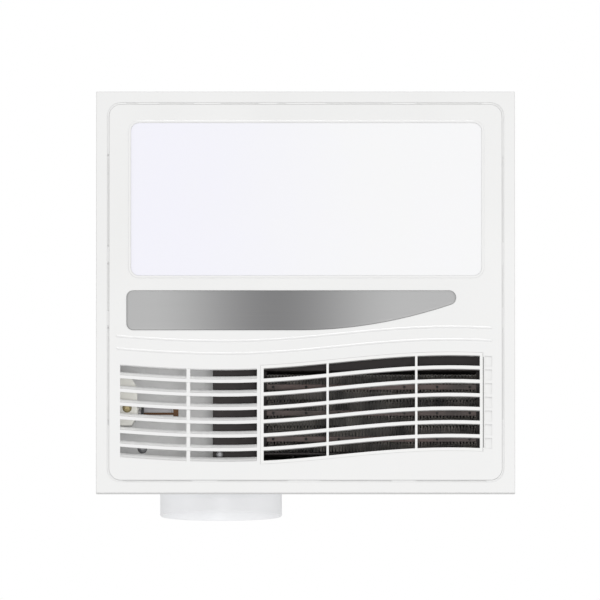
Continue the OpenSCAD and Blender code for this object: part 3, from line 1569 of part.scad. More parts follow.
if (shown("ceiling_frame")) ceiling_frame();
if (shown("frame_gasket")) frame_gasket();
if (shown("frame_screws")) frame_screws();
if (shown("housing")) housing();
if (shown("end_panels")) end_panels();
if (shown("panel_rivets")) panel_rivets();
if (shown("mounting_brackets")) mounting_brackets();
if (shown("bracket_bolts")) bracket_bolts();
if (shown("hanger_brackets")) hanger_brackets();
if (shown("light_tray")) light_tray();
if (shown("led_boards")) led_boards();
if (shown("led_chips")) led_chips();
if (shown("lamp_driver")) lamp_driver();
if (shown("air_box")) air_box();
if (shown("chamber_walls")) chamber_walls();
if (shown("blower_scroll")) blower_scroll();
if (shown("inlet_ring")) inlet_ring();
if (shown("scroll_lid")) scroll_lid();
if (shown("blower_motor")) blower_motor();
if (shown("motor_grommets")) motor_grommets();
if (shown("motor_screws")) motor_screws();
if (shown("damper_motor")) damper_motor();
if (shown("duct_collar")) duct_collar();
if (shown("collar_seal")) collar_seal();
if (shown("collar_screws")) collar_screws();
if (shown("heater_frame")) heater_frame();
if (shown("heater_cover")) heater_cover();
if (shown("cover_screw")) cover_screw();
if (shown("heater_screws")) heater_screws();
if (shown("ptc_tubes")) ptc_tubes();
if (shown("ptc_fins")) ptc_fins();
if (shown("ptc_end_caps")) ptc_end_caps();
if (shown("heater_terminals")) heater_terminals();
if (shown("thermal_cutout")) thermal_cutout();
if (shown("sensor_bracket")) sensor_bracket();
if (shown("sensor_probe")) sensor_probe();
if (shown("bracket_screw")) bracket_screw();
if (shown("earth_screw")) earth_screw();
if (shown("control_box")) control_box();
if (shown("control_lid")) control_lid();
if (shown("control_board")) control_board();
if (shown("terminal_block")) terminal_block();
if (shown("cable_gland")) cable_gland();
if (shown("gland_cap")) gland_cap();
if (shown("front_cover")) front_cover();
if (shown("outlet_grille")) outlet_grille();
if (shown("grille_screws")) grille_screws();
if (shown("lamp_diffuser")) lamp_diffuser();
if (shown("lens_clips")) lens_clips();
if (shown("trim_plate")) trim_plate();
if (shown("cover_hangers")) cover_hangers();
if (shown("blower_wheel")) blower_wheel();
if (shown("wheel_hub")) wheel_hub();
if (shown("motor_shaft")) motor_shaft();
if (shown("wheel_clip")) wheel_clip();
if (shown("diverter_flap")) diverter_flap();
if (shown("diverter_axle")) diverter_axle();
if (shown("flap_seals")) flap_seals();
if (shown("backdraft_flap")) backdraft_flap();
if (shown("backdraft_pin")) backdraft_pin();
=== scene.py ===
import json
import math

import bpy
import numpy as np
from mathutils import Matrix


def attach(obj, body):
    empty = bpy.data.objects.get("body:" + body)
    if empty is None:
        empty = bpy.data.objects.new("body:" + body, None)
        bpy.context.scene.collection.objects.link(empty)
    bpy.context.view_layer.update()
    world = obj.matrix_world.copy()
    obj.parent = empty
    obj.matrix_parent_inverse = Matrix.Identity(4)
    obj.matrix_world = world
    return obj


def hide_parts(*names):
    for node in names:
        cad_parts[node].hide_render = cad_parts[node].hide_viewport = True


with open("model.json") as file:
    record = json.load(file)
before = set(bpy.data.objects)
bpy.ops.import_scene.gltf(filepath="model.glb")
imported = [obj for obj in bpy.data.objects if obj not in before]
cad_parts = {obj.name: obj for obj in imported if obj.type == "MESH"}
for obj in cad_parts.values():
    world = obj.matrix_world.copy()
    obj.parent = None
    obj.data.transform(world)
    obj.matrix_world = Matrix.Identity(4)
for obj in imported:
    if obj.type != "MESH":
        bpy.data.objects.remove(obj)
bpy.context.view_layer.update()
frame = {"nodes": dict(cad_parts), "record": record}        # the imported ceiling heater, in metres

mm = 0.001
print("frame loaded:", len(frame["nodes"]), "nodes")

# Sizes that new pieces share with the moulded cover and the heater, in millimetres; the face looks along -Z
cover = {
    "face": -14.0,            # height of the visible face
    "waveMid": 57.0,          # Y of the wave's middle
    "waveHeight": 5.8,        # how far it swings to each side
    "waveLowX": -65.0,        # where it is lowest in the front view, at its greatest Y
    "halfWaveRight": 183.0,
    "halfWaveLeft": 220.0,
    "slotPitch": 11.14,       # from one inlet slot to the next
    "slotGap": 8.4,           # height of a slot in the front view
    "slotCount": 7,
    "lineFoot": 0.02,         # how far the foot of a raised line lies behind the face
    "lineBack": 0.3,          # how far the closed back of that line does
}
heater = {"tubeY": (75.0, 96.2, 117.4), "tubeHalf": 2.1}     # middles of the tubes, and half a tube's width


# The wave of both grilles: a cosine whose half length differs on the two sides of its lowest point
def waveAt(x):
    half = np.where(x < cover["waveLowX"], cover["halfWaveLeft"], cover["halfWaveRight"])
    return cover["waveMid"] + cover["waveHeight"] * np.cos(np.pi * (x - cover["waveLowX"]) / half)


# A grid of points, from X, Y and Z values that spread over its rows and columns
def gridPoints(x, y, z):
    return np.stack(np.broadcast_arrays(x, y, z), axis=-1)


# Quads of a grid whose last column joins the first; in a ring its last row joins the first too
def gridFaces(rows, columns, ring=False):
    row, column = np.meshgrid(np.arange(rows if ring else rows - 1), np.arange(columns), indexing="ij")
    nextRow = (row + 1) % rows
    nextColumn = (column + 1) % columns
    corners = [row * columns + column, row * columns + nextColumn,
               nextRow * columns + nextColumn, nextRow * columns + column]
    return np.stack(corners, axis=-1).reshape(-1, 4).tolist()


# Closed sections joined in a row, with a flat face over the first and the last.
# The faces point outwards where each section turns anticlockwise about the way that it is carried
def loftSections(sections):
    points = np.stack(sections)
    rows, columns = points.shape[:2]
    firstCap = list(range(columns))[::-1]
    lastCap = list(range((rows - 1) * columns, rows * columns))
    return points.reshape(-1, 3), gridFaces(rows, columns) + [firstCap, lastCap]


# Closed sections joined in a ring, the last to the first, as on a bead
def ringSections(sections):
    points = np.stack(sections)
    return points.reshape(-1, 3), gridFaces(*points.shape[:2], ring=True)


# The same small shape put at many places, as one list of points and faces
def repeated(points, faces, places):
    count = len(points)
    allPoints = (np.asarray(places)[:, None, :] + points[None, :, :]).reshape(-1, 3)
    allFaces = [[corner + k * count for corner in face] for k in range(len(places)) for face in faces]
    return allPoints, allFaces


# A piece from points in millimetres and faces, smooth up to the given angle, that rides on a body
def addPiece(name, points, faces, body, slot, smoothAngle=40, finish=None):
    mesh = bpy.data.meshes.new(name)
    mesh.from_pydata((points * mm).tolist(), [], faces)
    mesh.validate()
    mesh.update()
    piece = bpy.data.objects.new(name, mesh)
    bpy.context.scene.collection.objects.link(piece)
    mesh.shade_smooth()
    mesh.set_sharp_from_angle(angle=math.radians(smoothAngle))
    mesh.materials.append(materials[finish or slot])
    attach(piece, body)
    return piece


# Feeds a node's sockets, each from another node's socket or with a plain value
def feed(tree, node, sources):
    for label, source in sources.items():
        if isinstance(source, bpy.types.NodeSocket):
            tree.links.new(source, node.inputs[label])
        else:
            node.inputs[label].default_value = source


# A new node with its settings made and its sockets fed
def addNode(tree, kind, sources, **settings):
    node = tree.nodes.new(kind)
    for setting, value in settings.items():
        setattr(node, setting, value)
    feed(tree, node, sources)
    return node


vectorSocket, colourSocket, numberSocket = "NodeSocketVector", "NodeSocketColor", "NodeSocketFloat"
mixedValues = [("Dark", colourSocket), ("Light", colourSocket),
               ("Gloss Low", numberSocket), ("Gloss High", numberSocket)]
surfaceResults = [("Colour", colourSocket), ("Roughness", numberSocket), ("Height", numberSocket)]


# An empty node group that reads the position and its own values: the group, what it reads and its output node
def newEffect(name, ownValues, results):
    group = bpy.data.node_groups.new(name, "ShaderNodeTree")
    for label, kind in [("Position", vectorSocket), *ownValues]:
        group.interface.new_socket(name=label, in_out="INPUT", socket_type=kind)
    for label, kind in results:
        group.interface.new_socket(name=label, in_out="OUTPUT", socket_type=kind)
    return group, group.nodes.new("NodeGroupInput").outputs, group.nodes.new("NodeGroupOutput")


# The colour between Dark and Light at a factor
def mixColours(group, given, factor):
    mix = addNode(group, "ShaderNodeMix", {"Factor": factor, "A": given["Dark"], "B": given["Light"]},
                  data_type="RGBA")
    return mix.outputs["Result"]


# Mixes Dark and Light, and Gloss Low and Gloss High, by one factor stretched from its useful middle
def blendSurface(group, given, result, factor, low=0.3, high=0.7):
    stretch = addNode(group, "ShaderNodeMapRange", {"Value": factor, "From Min": low, "From Max": high})
    gloss = addNode(group, "ShaderNodeMix", {"Factor": stretch.outputs["Result"],
                                             "A": given["Gloss Low"], "B": given["Gloss High"]})
    feed(group, result, {"Colour": mixColours(group, given, stretch.outputs["Result"]),
                         "Roughness": gloss.outputs["Result"]})


# Satin moulded plastic and paint: fine grain in the height, broad faint clouds in the colour and gloss
def buildMouldGrain():
    group, given, result = newEffect(
        "mouldGrain", [("Scale", numberSocket), ("Cloud", numberSocket), *mixedValues], surfaceResults)
    cloud = addNode(group, "ShaderNodeTexNoise",
                    {"Vector": given["Position"], "Scale": given["Cloud"], "Detail": 4})
    grain = addNode(group, "ShaderNodeTexNoise",
                    {"Vector": given["Position"], "Scale": given["Scale"], "Detail": 2})
    blendSurface(group, given, result, cloud.outputs["Fac"])
    feed(group, result, {"Height": grain.outputs["Fac"]})
    return group


# Brushed or drawn metal: noise squeezed across the drawing direction
def buildBrushedGrain():
    group, given, result = newEffect("brushedGrain", [("Along", vectorSocket), *mixedValues], surfaceResults)
    squeeze = addNode(group, "ShaderNodeVectorMath", {0: given["Position"], 1: given["Along"]},
                      operation="MULTIPLY")
    streak = addNode(group, "ShaderNodeTexNoise",
                     {"Vector": squeeze.outputs["Vector"], "Scale": 1.0, "Detail": 5, "Roughness": 0.65})
    blendSurface(group, given, result, streak.outputs["Fac"], low=0.25, high=0.75)
    feed(group, result, {"Height": streak.outputs["Fac"]})
    return group


# Brushed grain with a tone swept along X, darkest at Middle and lightest past Reach. On the trim plate the
# sweep is a painted reflection; on the opal lens it makes the left end bluish
def buildSheenAndTintGrain(streakGroup):
    ownValues = [("Along", vectorSocket), ("Middle", numberSocket), ("Reach", numberSocket)]
    group, given, result = newEffect("sheenAndTintGrain", ownValues + mixedValues, surfaceResults)
    streaks = addNode(group, "ShaderNodeGroup", {
        "Position": given["Position"], "Along": given["Along"], "Dark": (0, 0, 0, 1), "Light": (1, 1, 1, 1),
        "Gloss Low": given["Gloss Low"], "Gloss High": given["Gloss High"]}, node_tree=streakGroup)
    split = addNode(group, "ShaderNodeSeparateXYZ", {"Vector": given["Position"]})
    offset = addNode(group, "ShaderNodeMath", {0: split.outputs["X"], 1: given["Middle"]},
                     operation="SUBTRACT")
    away = addNode(group, "ShaderNodeMath", {0: offset.outputs["Value"]}, operation="ABSOLUTE")
    sheenAndTintSweep = addNode(group, "ShaderNodeMapRange", {"Value": away.outputs["Value"], "From Max": given["Reach"]},
                    interpolation_type="SMOOTHSTEP")
    # The sweep along X is a painted reflection on the trim plate and a bluish tint on the opal lens
    streakShare = 0.16        # the streaks' part in the tone; the swell has the rest
    tone = addNode(group, "ShaderNodeMix", {"Factor": streakShare, "A": sheenAndTintSweep.outputs["Result"],
                                            "B": streaks.outputs["Colour"]})
    feed(group, result, {"Colour": mixColours(group, given, tone.outputs["Result"]),
                         "Roughness": streaks.outputs["Roughness"], "Height": streaks.outputs["Height"]})
    return group


# Galvanised sheet: crystal flakes of slightly different grey and gloss, whose edges wander by a noise
def buildZincSpangle():
    group, given, result = newEffect("zincSpangle", [("Scale", numberSocket), *mixedValues], surfaceResults)
    wander = 0.006            # metres
    warp = addNode(group, "ShaderNodeTexNoise", {"Vector": given["Position"], "Scale": 60})
    bend = addNode(group, "ShaderNodeVectorMath",
                   {0: warp.outputs["Color"], 1: (wander, wander, wander), 2: given["Position"]},
                   operation="MULTIPLY_ADD")
    flake = addNode(group, "ShaderNodeTexVoronoi",
                    {"Vector": bend.outputs["Vector"], "Scale": given["Scale"]})
    split = addNode(group, "ShaderNodeSeparateColor", {"Color": flake.outputs["Color"]})
    blendSurface(group, given, result, split.outputs["Red"], low=0.0, high=1.0)
    feed(group, result, {"Height": split.outputs["Green"]})
    return group


# Foam: small round cells, darkest and deepest at their middles
def buildFoamCells():
    group, given, result = newEffect("foamCells", [("Scale", numberSocket), *mixedValues], surfaceResults)
    cells = addNode(group, "ShaderNodeTexVoronoi", {"Vector": given["Position"], "Scale": given["Scale"]})
    blendSurface(group, given, result, cells.outputs["Distance"], low=0.0, high=0.8)
    feed(group, result, {"Height": cells.outputs["Distance"]})
    return group


# Painted light at the front edge and painted shade further in: the factor falls from one at height Near to
# nothing at height Far, broken into random patches
def buildDepthShade():
    group, given, result = newEffect(
        "depthShade", [("Near", numberSocket), ("Far", numberSocket), *mixedValues], surfaceResults)
    split = addNode(group, "ShaderNodeSeparateXYZ", {"Vector": given["Position"]})
    fall = addNode(group, "ShaderNodeMapRange",
                   {"Value": split.outputs["Z"], "From Min": given["Near"], "From Max": given["Far"],
                    "To Min": 1.0, "To Max": 0.0})
    patchNoise = addNode(group, "ShaderNodeTexNoise", {"Vector": given["Position"], "Scale": 60})
    patchy = addNode(group, "ShaderNodeMath", {0: fall.outputs["Result"], 1: patchNoise.outputs["Fac"]},
                     operation="MULTIPLY")
    blendSurface(group, given, result, patchy.outputs["Value"], low=0.32, high=0.68)
    feed(group, result, {"Height": patchNoise.outputs["Fac"]})
    return group


# Painted light: a glow, black up to the height Near and white beyond Far, standing in for light let through
# thin plastic and bounced in the slots
def buildPaintedDeepGlow():
    group, given, result = newEffect(
        "paintedDeepGlow", [("Near", numberSocket), ("Far", numberSocket)], [("Glow", colourSocket)])
    split = addNode(group, "ShaderNodeSeparateXYZ", {"Vector": given["Position"]})
    rise = addNode(group, "ShaderNodeMapRange",
                   {"Value": split.outputs["Z"], "From Min": given["Near"], "From Max": given["Far"]})
    feed(group, result, {"Glow": rise.outputs["Result"]})
    return group


brushedGrain = buildBrushedGrain()
effects = {
    "mouldGrain": buildMouldGrain(),
    "brushedGrain": brushedGrain,
    "sheenAndTintGrain": buildSheenAndTintGrain(brushedGrain),
    "zincSpangle": buildZincSpangle(),
    "foamCells": buildFoamCells(),
    "depthShade": buildDepthShade(),
    "paintedDeepGlow": buildPaintedDeepGlow(),
}
print("effects made:", len(effects))

# Finishes for the material slots, and some for single nodes or pieces. Each has an effect, two colours and
# two glosses for it to mix, the pattern's scale, plain shader values, and in metres the depth of its relief and
# the width of its softened edges
finishes = {
    # white_plastic: its emission, masked by depth, is a painted glow deep in the slots
    "white_plastic": {"effect": "mouldGrain", "dark": (0.795, 0.795, 0.79), "light": (0.825, 0.825, 0.82),
                      "gloss": (0.36, 0.46), "scale": 1400, "relief": 0.00002, "edge": 0.0004,
                      "paintedGlow": {"Near": -0.0126, "Far": -0.0114}, "shader": {"Emission Strength": 0.15}},
    "frameWhite": {"effect": "mouldGrain", "dark": (0.795, 0.795, 0.79), "light": (0.825, 0.825, 0.82),
                   "gloss": (0.36, 0.46), "scale": 1400, "relief": 0.00002, "edge": 0.0014},
    # Galvanised grain coloured dark brown, for the diverter flap
    "darkBrownSheet": {"effect": "zincSpangle", "dark": (0.04, 0.032, 0.026), "light": (0.07, 0.056, 0.045),
                     "gloss": (0.5, 0.62), "scale": 130, "relief": 0.00001, "edge": 0.0003,
                     "shader": {"Metallic": 0.2}},
    # Glossy white for the raised lines and the bead: real gloss, with a base a little lighter than
    # white_plastic as a painted highlight
    "polishedHighlightWhite": {"effect": "mouldGrain", "dark": (0.82, 0.82, 0.82), "light": (0.84, 0.84, 0.84),
                      "gloss": (0.17, 0.22), "scale": 900, "relief": 0.0, "edge": 0.0},
    "grille_white": {"effect": "mouldGrain", "dark": (0.81, 0.81, 0.8), "light": (0.84, 0.84, 0.83),
                     "gloss": (0.34, 0.44), "scale": 1100, "relief": 0.00002, "edge": 0.0001},
    "opal": {"effect": "sheenAndTintGrain", "dark": (0.825, 0.82, 0.89), "light": (0.855, 0.855, 0.858),
             "gloss": (0.5, 0.56), "along": (30, 30, 30), "middle": -0.125, "reach": 0.2, "relief": 0.000003,
             "edge": 0.0003, "shader": {"Emission Color": (0.9, 0.95, 1.0, 1), "Emission Strength": 0.02}},
    # Painted reflection: the trim plate is darkest near its middle and lighter towards both ends
    "brushed_trim": {"effect": "sheenAndTintGrain", "dark": (0.175, 0.175, 0.177), "light": (0.43, 0.43, 0.43),
                     "gloss": (0.52, 0.62), "along": (5, 1600, 1600), "middle": -0.024, "reach": 0.106,
                     "relief": 0.00001, "edge": 0.0002, "shader": {"Metallic": 1.0}},
    # Galvanised grain for the air box, painted much lighter than galvanised to stand in for the light inside
    # the box
    "paintedLitSheet": {"effect": "zincSpangle", "dark": (0.84, 0.84, 0.835), "light": (0.9, 0.9, 0.895),
                    "gloss": (0.5, 0.62), "scale": 130, "relief": 0.00001, "edge": 0.0003,
                    "shader": {"Metallic": 0.15}},
    "galvanised": {"effect": "zincSpangle", "dark": (0.56, 0.565, 0.57), "light": (0.64, 0.645, 0.65),
                   "gloss": (0.5, 0.62), "scale": 130, "relief": 0.00001, "edge": 0.0003,
                   "shader": {"Metallic": 0.3}},
    "steel": {"effect": "brushedGrain", "dark": (0.3, 0.3, 0.31), "light": (0.42, 0.42, 0.43),
              "gloss": (0.42, 0.52), "along": (500, 500, 500), "relief": 0.00002, "edge": 0.0002,
              "shader": {"Metallic": 1.0}},
    "heaterTube": {"effect": "mouldGrain", "dark": (0.022, 0.015, 0.013), "light": (0.15, 0.105, 0.095),
                   "gloss": (0.3, 0.5), "scale": 300, "cloud": 22, "relief": 0.00002, "edge": 0.0002,
                   "shader": {"Metallic": 0.3}},
    # finSheet: painted light on the fins' front edges, painted shade deeper in
    "finSheet": {"effect": "depthShade", "dark": (0.022, 0.018, 0.016), "light": (0.34, 0.31, 0.28),
                 "gloss": (0.35, 0.5), "near": 0.0141, "far": 0.0151, "relief": 0.0, "edge": 0.0,
                 "shader": {"Metallic": 0.4}},
    "aluminium": {"effect": "brushedGrain", "dark": (0.3, 0.29, 0.29), "light": (0.44, 0.42, 0.41),
                  "gloss": (0.32, 0.5), "along": (20, 900, 900), "relief": 0.00003, "edge": 0.0002,
                  "shader": {"Metallic": 1.0}},
    "black_plastic": {"effect": "mouldGrain", "dark": (0.018, 0.014, 0.014), "light": (0.03, 0.024, 0.023),
                      "gloss": (0.5, 0.65), "scale": 1000, "relief": 0.00003, "edge": 0.0004,
                      "shader": {"Specular IOR Level": 0.35}},
    "dark_rubber": {"effect": "mouldGrain", "dark": (0.02, 0.02, 0.02), "light": (0.04, 0.04, 0.04),
                    "gloss": (0.65, 0.8), "scale": 700, "relief": 0.00004, "edge": 0.0003},
    # Grey of the probe's nut, and painted shade on the cover over the sensor's arm
    "sleeveShadeAndNutGrey": {"effect": "mouldGrain", "dark": (0.27, 0.26, 0.27), "light": (0.36, 0.35, 0.36),
                   "gloss": (0.45, 0.6), "scale": 700, "cloud": 90, "relief": 0.00003, "edge": 0.0002},
    "foam": {"effect": "foamCells", "dark": (0.03, 0.03, 0.032), "light": (0.09, 0.09, 0.095),
             "gloss": (0.85, 0.95), "scale": 900, "relief": 0.0002, "edge": 0.0},
    # collar_plastic: its emission is a painted glow that lightens the collar
    "collar_plastic": {"effect": "mouldGrain", "dark": (0.92, 0.925, 0.94), "light": (0.95, 0.953, 0.965),
                       "gloss": (0.3, 0.4), "scale": 600, "relief": 0.00003, "edge": 0.0004,
                       "shader": {"Emission Color": (0.96, 0.98, 1.0, 1), "Emission Strength": 0.07}},
    "grey_plastic": {"effect": "mouldGrain", "dark": (0.5, 0.51, 0.52), "light": (0.57, 0.58, 0.59),
                     "gloss": (0.4, 0.52), "scale": 800, "relief": 0.00003, "edge": 0.0004},
    "ivory_plastic": {"effect": "mouldGrain", "dark": (0.76, 0.75, 0.69), "light": (0.82, 0.81, 0.76),
                      "gloss": (0.4, 0.5), "scale": 800, "relief": 0.00003, "edge": 0.0004},
    "brass": {"effect": "brushedGrain", "dark": (0.3, 0.25, 0.13), "light": (0.45, 0.38, 0.22),
              "gloss": (0.4, 0.5), "along": (400, 400, 400), "relief": 0.00002, "edge": 0.0002,
              "shader": {"Metallic": 1.0}},
    "brown_brass": {"effect": "brushedGrain", "dark": (0.065, 0.03, 0.013), "light": (0.14, 0.07, 0.032),
                    "gloss": (0.5, 0.6), "along": (40, 700, 700), "relief": 0.00003, "edge": 0.0002,
                    "shader": {"Metallic": 0.6}},
    "tray_white": {"effect": "mouldGrain", "dark": (0.84, 0.84, 0.83), "light": (0.88, 0.88, 0.87),
                   "gloss": (0.5, 0.62), "scale": 500, "relief": 0.00004, "edge": 0.0003},
    "board_white": {"effect": "mouldGrain", "dark": (0.8, 0.8, 0.77), "light": (0.84, 0.84, 0.81),
                    "gloss": (0.35, 0.45), "scale": 900, "relief": 0.00001, "edge": 0.0001},
    "phosphor": {"effect": "mouldGrain", "dark": (0.8, 0.62, 0.16), "light": (0.9, 0.74, 0.28),
                 "gloss": (0.2, 0.3), "scale": 2000, "relief": 0.00001, "edge": 0.0001},
    "board_green": {"effect": "mouldGrain", "dark": (0.02, 0.1, 0.05), "light": (0.035, 0.15, 0.07),
                    "gloss": (0.3, 0.4), "scale": 900, "relief": 0.00001, "edge": 0.0001},
}
patternWords = ("scale", "cloud", "along", "middle", "reach", "near", "far")   # read by the effects
usualCloud = 9.0              # where a finish names no cloud


# A material: its effect reads Object coordinates and feeds the colour, the roughness and the relief
def makeFinish(name, look):
    material = bpy.data.materials.new(name)
    material.use_nodes = True
    tree = material.node_tree
    position = addNode(tree, "ShaderNodeTexCoord", {}).outputs["Object"]
    effect = addNode(tree, "ShaderNodeGroup", {"Position": position}, node_tree=effects[look["effect"]])
    glossLow, glossHigh = look["gloss"]
    feed(tree, effect, {"Dark": (*look["dark"], 1), "Light": (*look["light"], 1),
                        "Gloss Low": glossLow, "Gloss High": glossHigh})
    wanted = {"cloud": usualCloud, **look}
    for word in patternWords:
        if word.title() in effect.inputs:
            feed(tree, effect, {word.title(): wanted[word]})
    relief = addNode(tree, "ShaderNodeBump", {"Distance": look["relief"], "Height": effect.outputs["Height"]})
    if look["edge"]:
        soften = addNode(tree, "ShaderNodeBevel", {"Radius": look["edge"]}, samples=4)
        feed(tree, relief, {"Normal": soften.outputs["Normal"]})
    shader = tree.nodes["Principled BSDF"]
    feed(tree, shader, {"Base Color": effect.outputs["Colour"], "Roughness": effect.outputs["Roughness"],
                        "Normal": relief.outputs["Normal"], **look.get("shader", {})})
    # Painted glow where the surface lies deep behind the face
    if "paintedGlow" in look:
        lit = addNode(tree, "ShaderNodeGroup", {"Position": position, **look["paintedGlow"]},
                      node_tree=effects["paintedDeepGlow"])
        feed(tree, shader, {"Emission Color": lit.outputs["Glow"]})
    return material


materials = {name: makeFinish(name, look) for name, look in finishes.items()}

# Nodes whose finish is not the one of their slot
nodeFinish = {"ptc_tubes": "heaterTube", "ceiling_frame": "frameWhite", "diverter_flap": "darkBrownSheet",
              "air_box": "paintedLitSheet"}
for entry in frame["record"]["subparts"]:
    for materialSlot in frame["nodes"][entry["node"]].material_slots:
        materialSlot.material = materials[nodeFinish.get(entry["node"], entry["material_slot"])]
print("finishes made:", len(materials))


# Rounded rectangle, anticlockwise seen from +Z: each corner a quarter circle of even steps
def roundedLoop(halfWidth, halfLength, radius, steps=8):
    turn = np.linspace(0, np.pi / 2, steps)
    corners = []
    for quarter, (sideX, sideY) in enumerate([(1, 1), (-1, 1), (-1, -1), (1, -1)]):
        angle = turn + quarter * np.pi / 2
        corners.append(np.stack([sideX * (halfWidth - radius) + radius * np.cos(angle),
                                 sideY * (halfLength - radius) + radius * np.sin(angle)], axis=-1))
    return np.concatenate(corners)


# A flat outline lifted to a height, or each of its points to its own height
def atHeight(outline, z):
    return np.column_stack([outline, np.broadcast_to(z, len(outline))])


# Unit normals on the right of a closed outline: outwards if it turns anticlockwise, inwards if clockwise
def rightNormals(outline):
    along = np.roll(outline, -1, axis=0) - np.roll(outline, 1, axis=0)
    along /= np.linalg.norm(along, axis=1, keepdims=True)
    return np.stack([along[:, 1], -along[:, 0]], axis=-1)


# Opal lamp panel
panel = {"halfWidth": 142.25, "halfLength": 62.15, "radius": 6.5, "centre": (0.6, -75.7), "front": -14.4,
         "crown": 0.4, "crownReach": 4.0, "crownSteps": 9, "flangeZ": -11.55, "flangeTop": -10.15,
         "flangeWidth": 4.0, "shell": 2.0}


# The panel's outline drawn in or out by some distance, at a height
def panelRing(out, z, steps=8):
    loop = roundedLoop(panel["halfWidth"] + out, panel["halfLength"] + out, panel["radius"] + out, steps)
    return atHeight(loop + np.array(panel["centre"]), z)


# From the flat front a parabola bends to the side; then come the side, the flange and the inside of the shell
def buildLampPanel():
    part = np.linspace(1, 0, panel["crownSteps"])
    crown = zip(-panel["crownReach"] * part, panel["front"] + panel["crown"] * (1 - part) ** 2)
    rows = [*crown, (0, panel["flangeZ"]), (panel["flangeWidth"], panel["flangeZ"]),
            (panel["flangeWidth"], panel["flangeTop"]), (-panel["shell"], panel["flangeTop"]),
            (-panel["shell"], panel["front"] + panel["shell"])]
    piece = addPiece("lampPanel", *loftSections([panelRing(out, z) for out, z in rows]), "cover", "opal")
    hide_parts("lamp_diffuser")


buildLampPanel()

# Metal trim plate; its rounded edge passes edgeMiddle inside the sharp corner
trim = {"left": -145.2, "length": 267.2, "top": -1.2, "height": 32.0, "straight": 140.0,
        "leftRadius": 5.4, "leftSteps": 10, "sweepSteps": 40,
        "tipRadius": 5.7, "tipAngle": 71.0, "tipGap": 6.0, "tipSteps": 24,
        "back": -13.2, "front": -14.4, "edge": 0.3, "edgeMiddle": 0.09, "rim": 1.5}


# Points of a circle between two angles in degrees
def arc(centreX, centreY, radius, start, end, steps):
    angle = np.radians(np.linspace(start, end, steps))
    return np.stack([centreX + radius * np.cos(angle), centreY + radius * np.sin(angle)], axis=-1)


# Two quarter circles at the left, a parabola along the lower edge, and a circle round the right tip
def trimLoop():
    top, bottom = trim["top"], trim["top"] + trim["height"]
    corner = trim["leftRadius"]
    leftX = trim["left"] + corner
    tipX, tipY = trim["left"] + trim["length"] - trim["tipRadius"], top + trim["tipRadius"]
    startX = trim["left"] + trim["straight"]
    endX, endY = arc(tipX, tipY, trim["tipRadius"], trim["tipAngle"], trim["tipAngle"], 1)[0]
    x = np.linspace(startX, endX, trim["sweepSteps"])
    sweep = np.stack([x, bottom - (bottom - endY) * ((x - startX) / (endX - startX)) ** 2], axis=-1)
    return np.concatenate([
        arc(leftX, top + corner, corner, 270, 180, trim["leftSteps"]),
        arc(leftX, bottom - corner, corner, 180, 90, trim["leftSteps"]),
        sweep,
        arc(tipX, tipY, trim["tipRadius"], trim["tipAngle"] - trim["tipGap"], -90, trim["tipSteps"])])


# The outline carried from the back to the front, and drawn in along its normals over the rounded edge
def buildTrimPlate():
    loop = trimLoop()
    inwards = rightNormals(loop)
    rows = [(0, trim["back"]), (0, trim["front"] + trim["edge"]),
            (trim["edgeMiddle"], trim["front"] + trim["edgeMiddle"]),
            (trim["edge"], trim["front"]), (trim["edge"] + trim["rim"], trim["front"])]
    shape = loftSections([atHeight(loop + inset * inwards, z) for inset, z in rows])
    piece = addPiece("trimSheet", *shape, "cover", "brushed_trim")
    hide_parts("trim_plate")


buildTrimPlate()

# Raised wave lines above the grille, and the bead round the lamp window
waveLine = {"offsets": (-22.9, -12.7), "left": -153.0, "right": 151.0, "steps": 220,
            "halfWidth": 1.5, "height": 0.32, "bellSteps": 15}
lampBead = {"width": 2.6, "height": 0.28, "bellSteps": 13, "cornerSteps": 12}


# Section of a raised line as (t, z): a bell, one plus a cosine of t from -1 to 1, closed behind the face
def bellSection(height, steps):
    t = np.linspace(-1, 1, steps)
    front = cover["face"] + cover["lineFoot"] - height / 2 * (1 + np.cos(np.pi * t))
    back = cover["face"] + cover["lineBack"]
    return np.append(t, (1, -1)), np.append(front, (back, back))


# The bell carried along the wave
def buildWaveLines():
    x = np.linspace(waveLine["left"], waveLine["right"], waveLine["steps"])
    t, z = bellSection(waveLine["height"], waveLine["bellSteps"])
    for index, offset in enumerate(waveLine["offsets"]):
        points = gridPoints(x[:, None], (waveAt(x) + offset)[:, None] + waveLine["halfWidth"] * t, z)
        addPiece(f"waveLine{index}", *loftSections(points), "cover", "white_plastic",
                 smoothAngle=60, finish="polishedHighlightWhite")


# The bell carried round the lamp window's rounded rectangle
def buildLampBead():
    t, z = bellSection(lampBead["height"], lampBead["bellSteps"])
    out = lampBead["width"] * (t + 1) / 2
    rings = [panelRing(*row, lampBead["cornerSteps"]) for row in zip(out, z)]
    addPiece("lampBead", *ringSections(rings), "cover", "white_plastic",
             smoothAngle=60, finish="polishedHighlightWhite")


buildWaveLines()
buildLampBead()

# Leaning sill of the inlet's last slot
sill = {"left": -150.7, "right": -39.1, "steps": 90, "lean": 4.2, "front": 0.1, "depth": 9.8, "tip": 0.4,
        "sunk": 0.3}


# A wedge under the wave: its front side leans from the last slot's lower edge back towards the slot above
def buildSill():
    x = np.linspace(sill["left"], sill["right"], sill["steps"])
    lowerEdge = (cover["slotCount"] - 1) * cover["slotPitch"] + cover["slotGap"]
    across = np.array([0.0, sill["sunk"], sill["sunk"], -sill["lean"], -sill["lean"]])
    behind = np.array([sill["front"], sill["front"],
                       sill["depth"], sill["depth"], sill["depth"] - sill["tip"]])
    points = gridPoints(x[:, None], (waveAt(x) + lowerEdge)[:, None] + across, cover["face"] + behind)
    addPiece("inletSill", *loftSections(points), "cover", "white_plastic", smoothAngle=30)


buildSill()

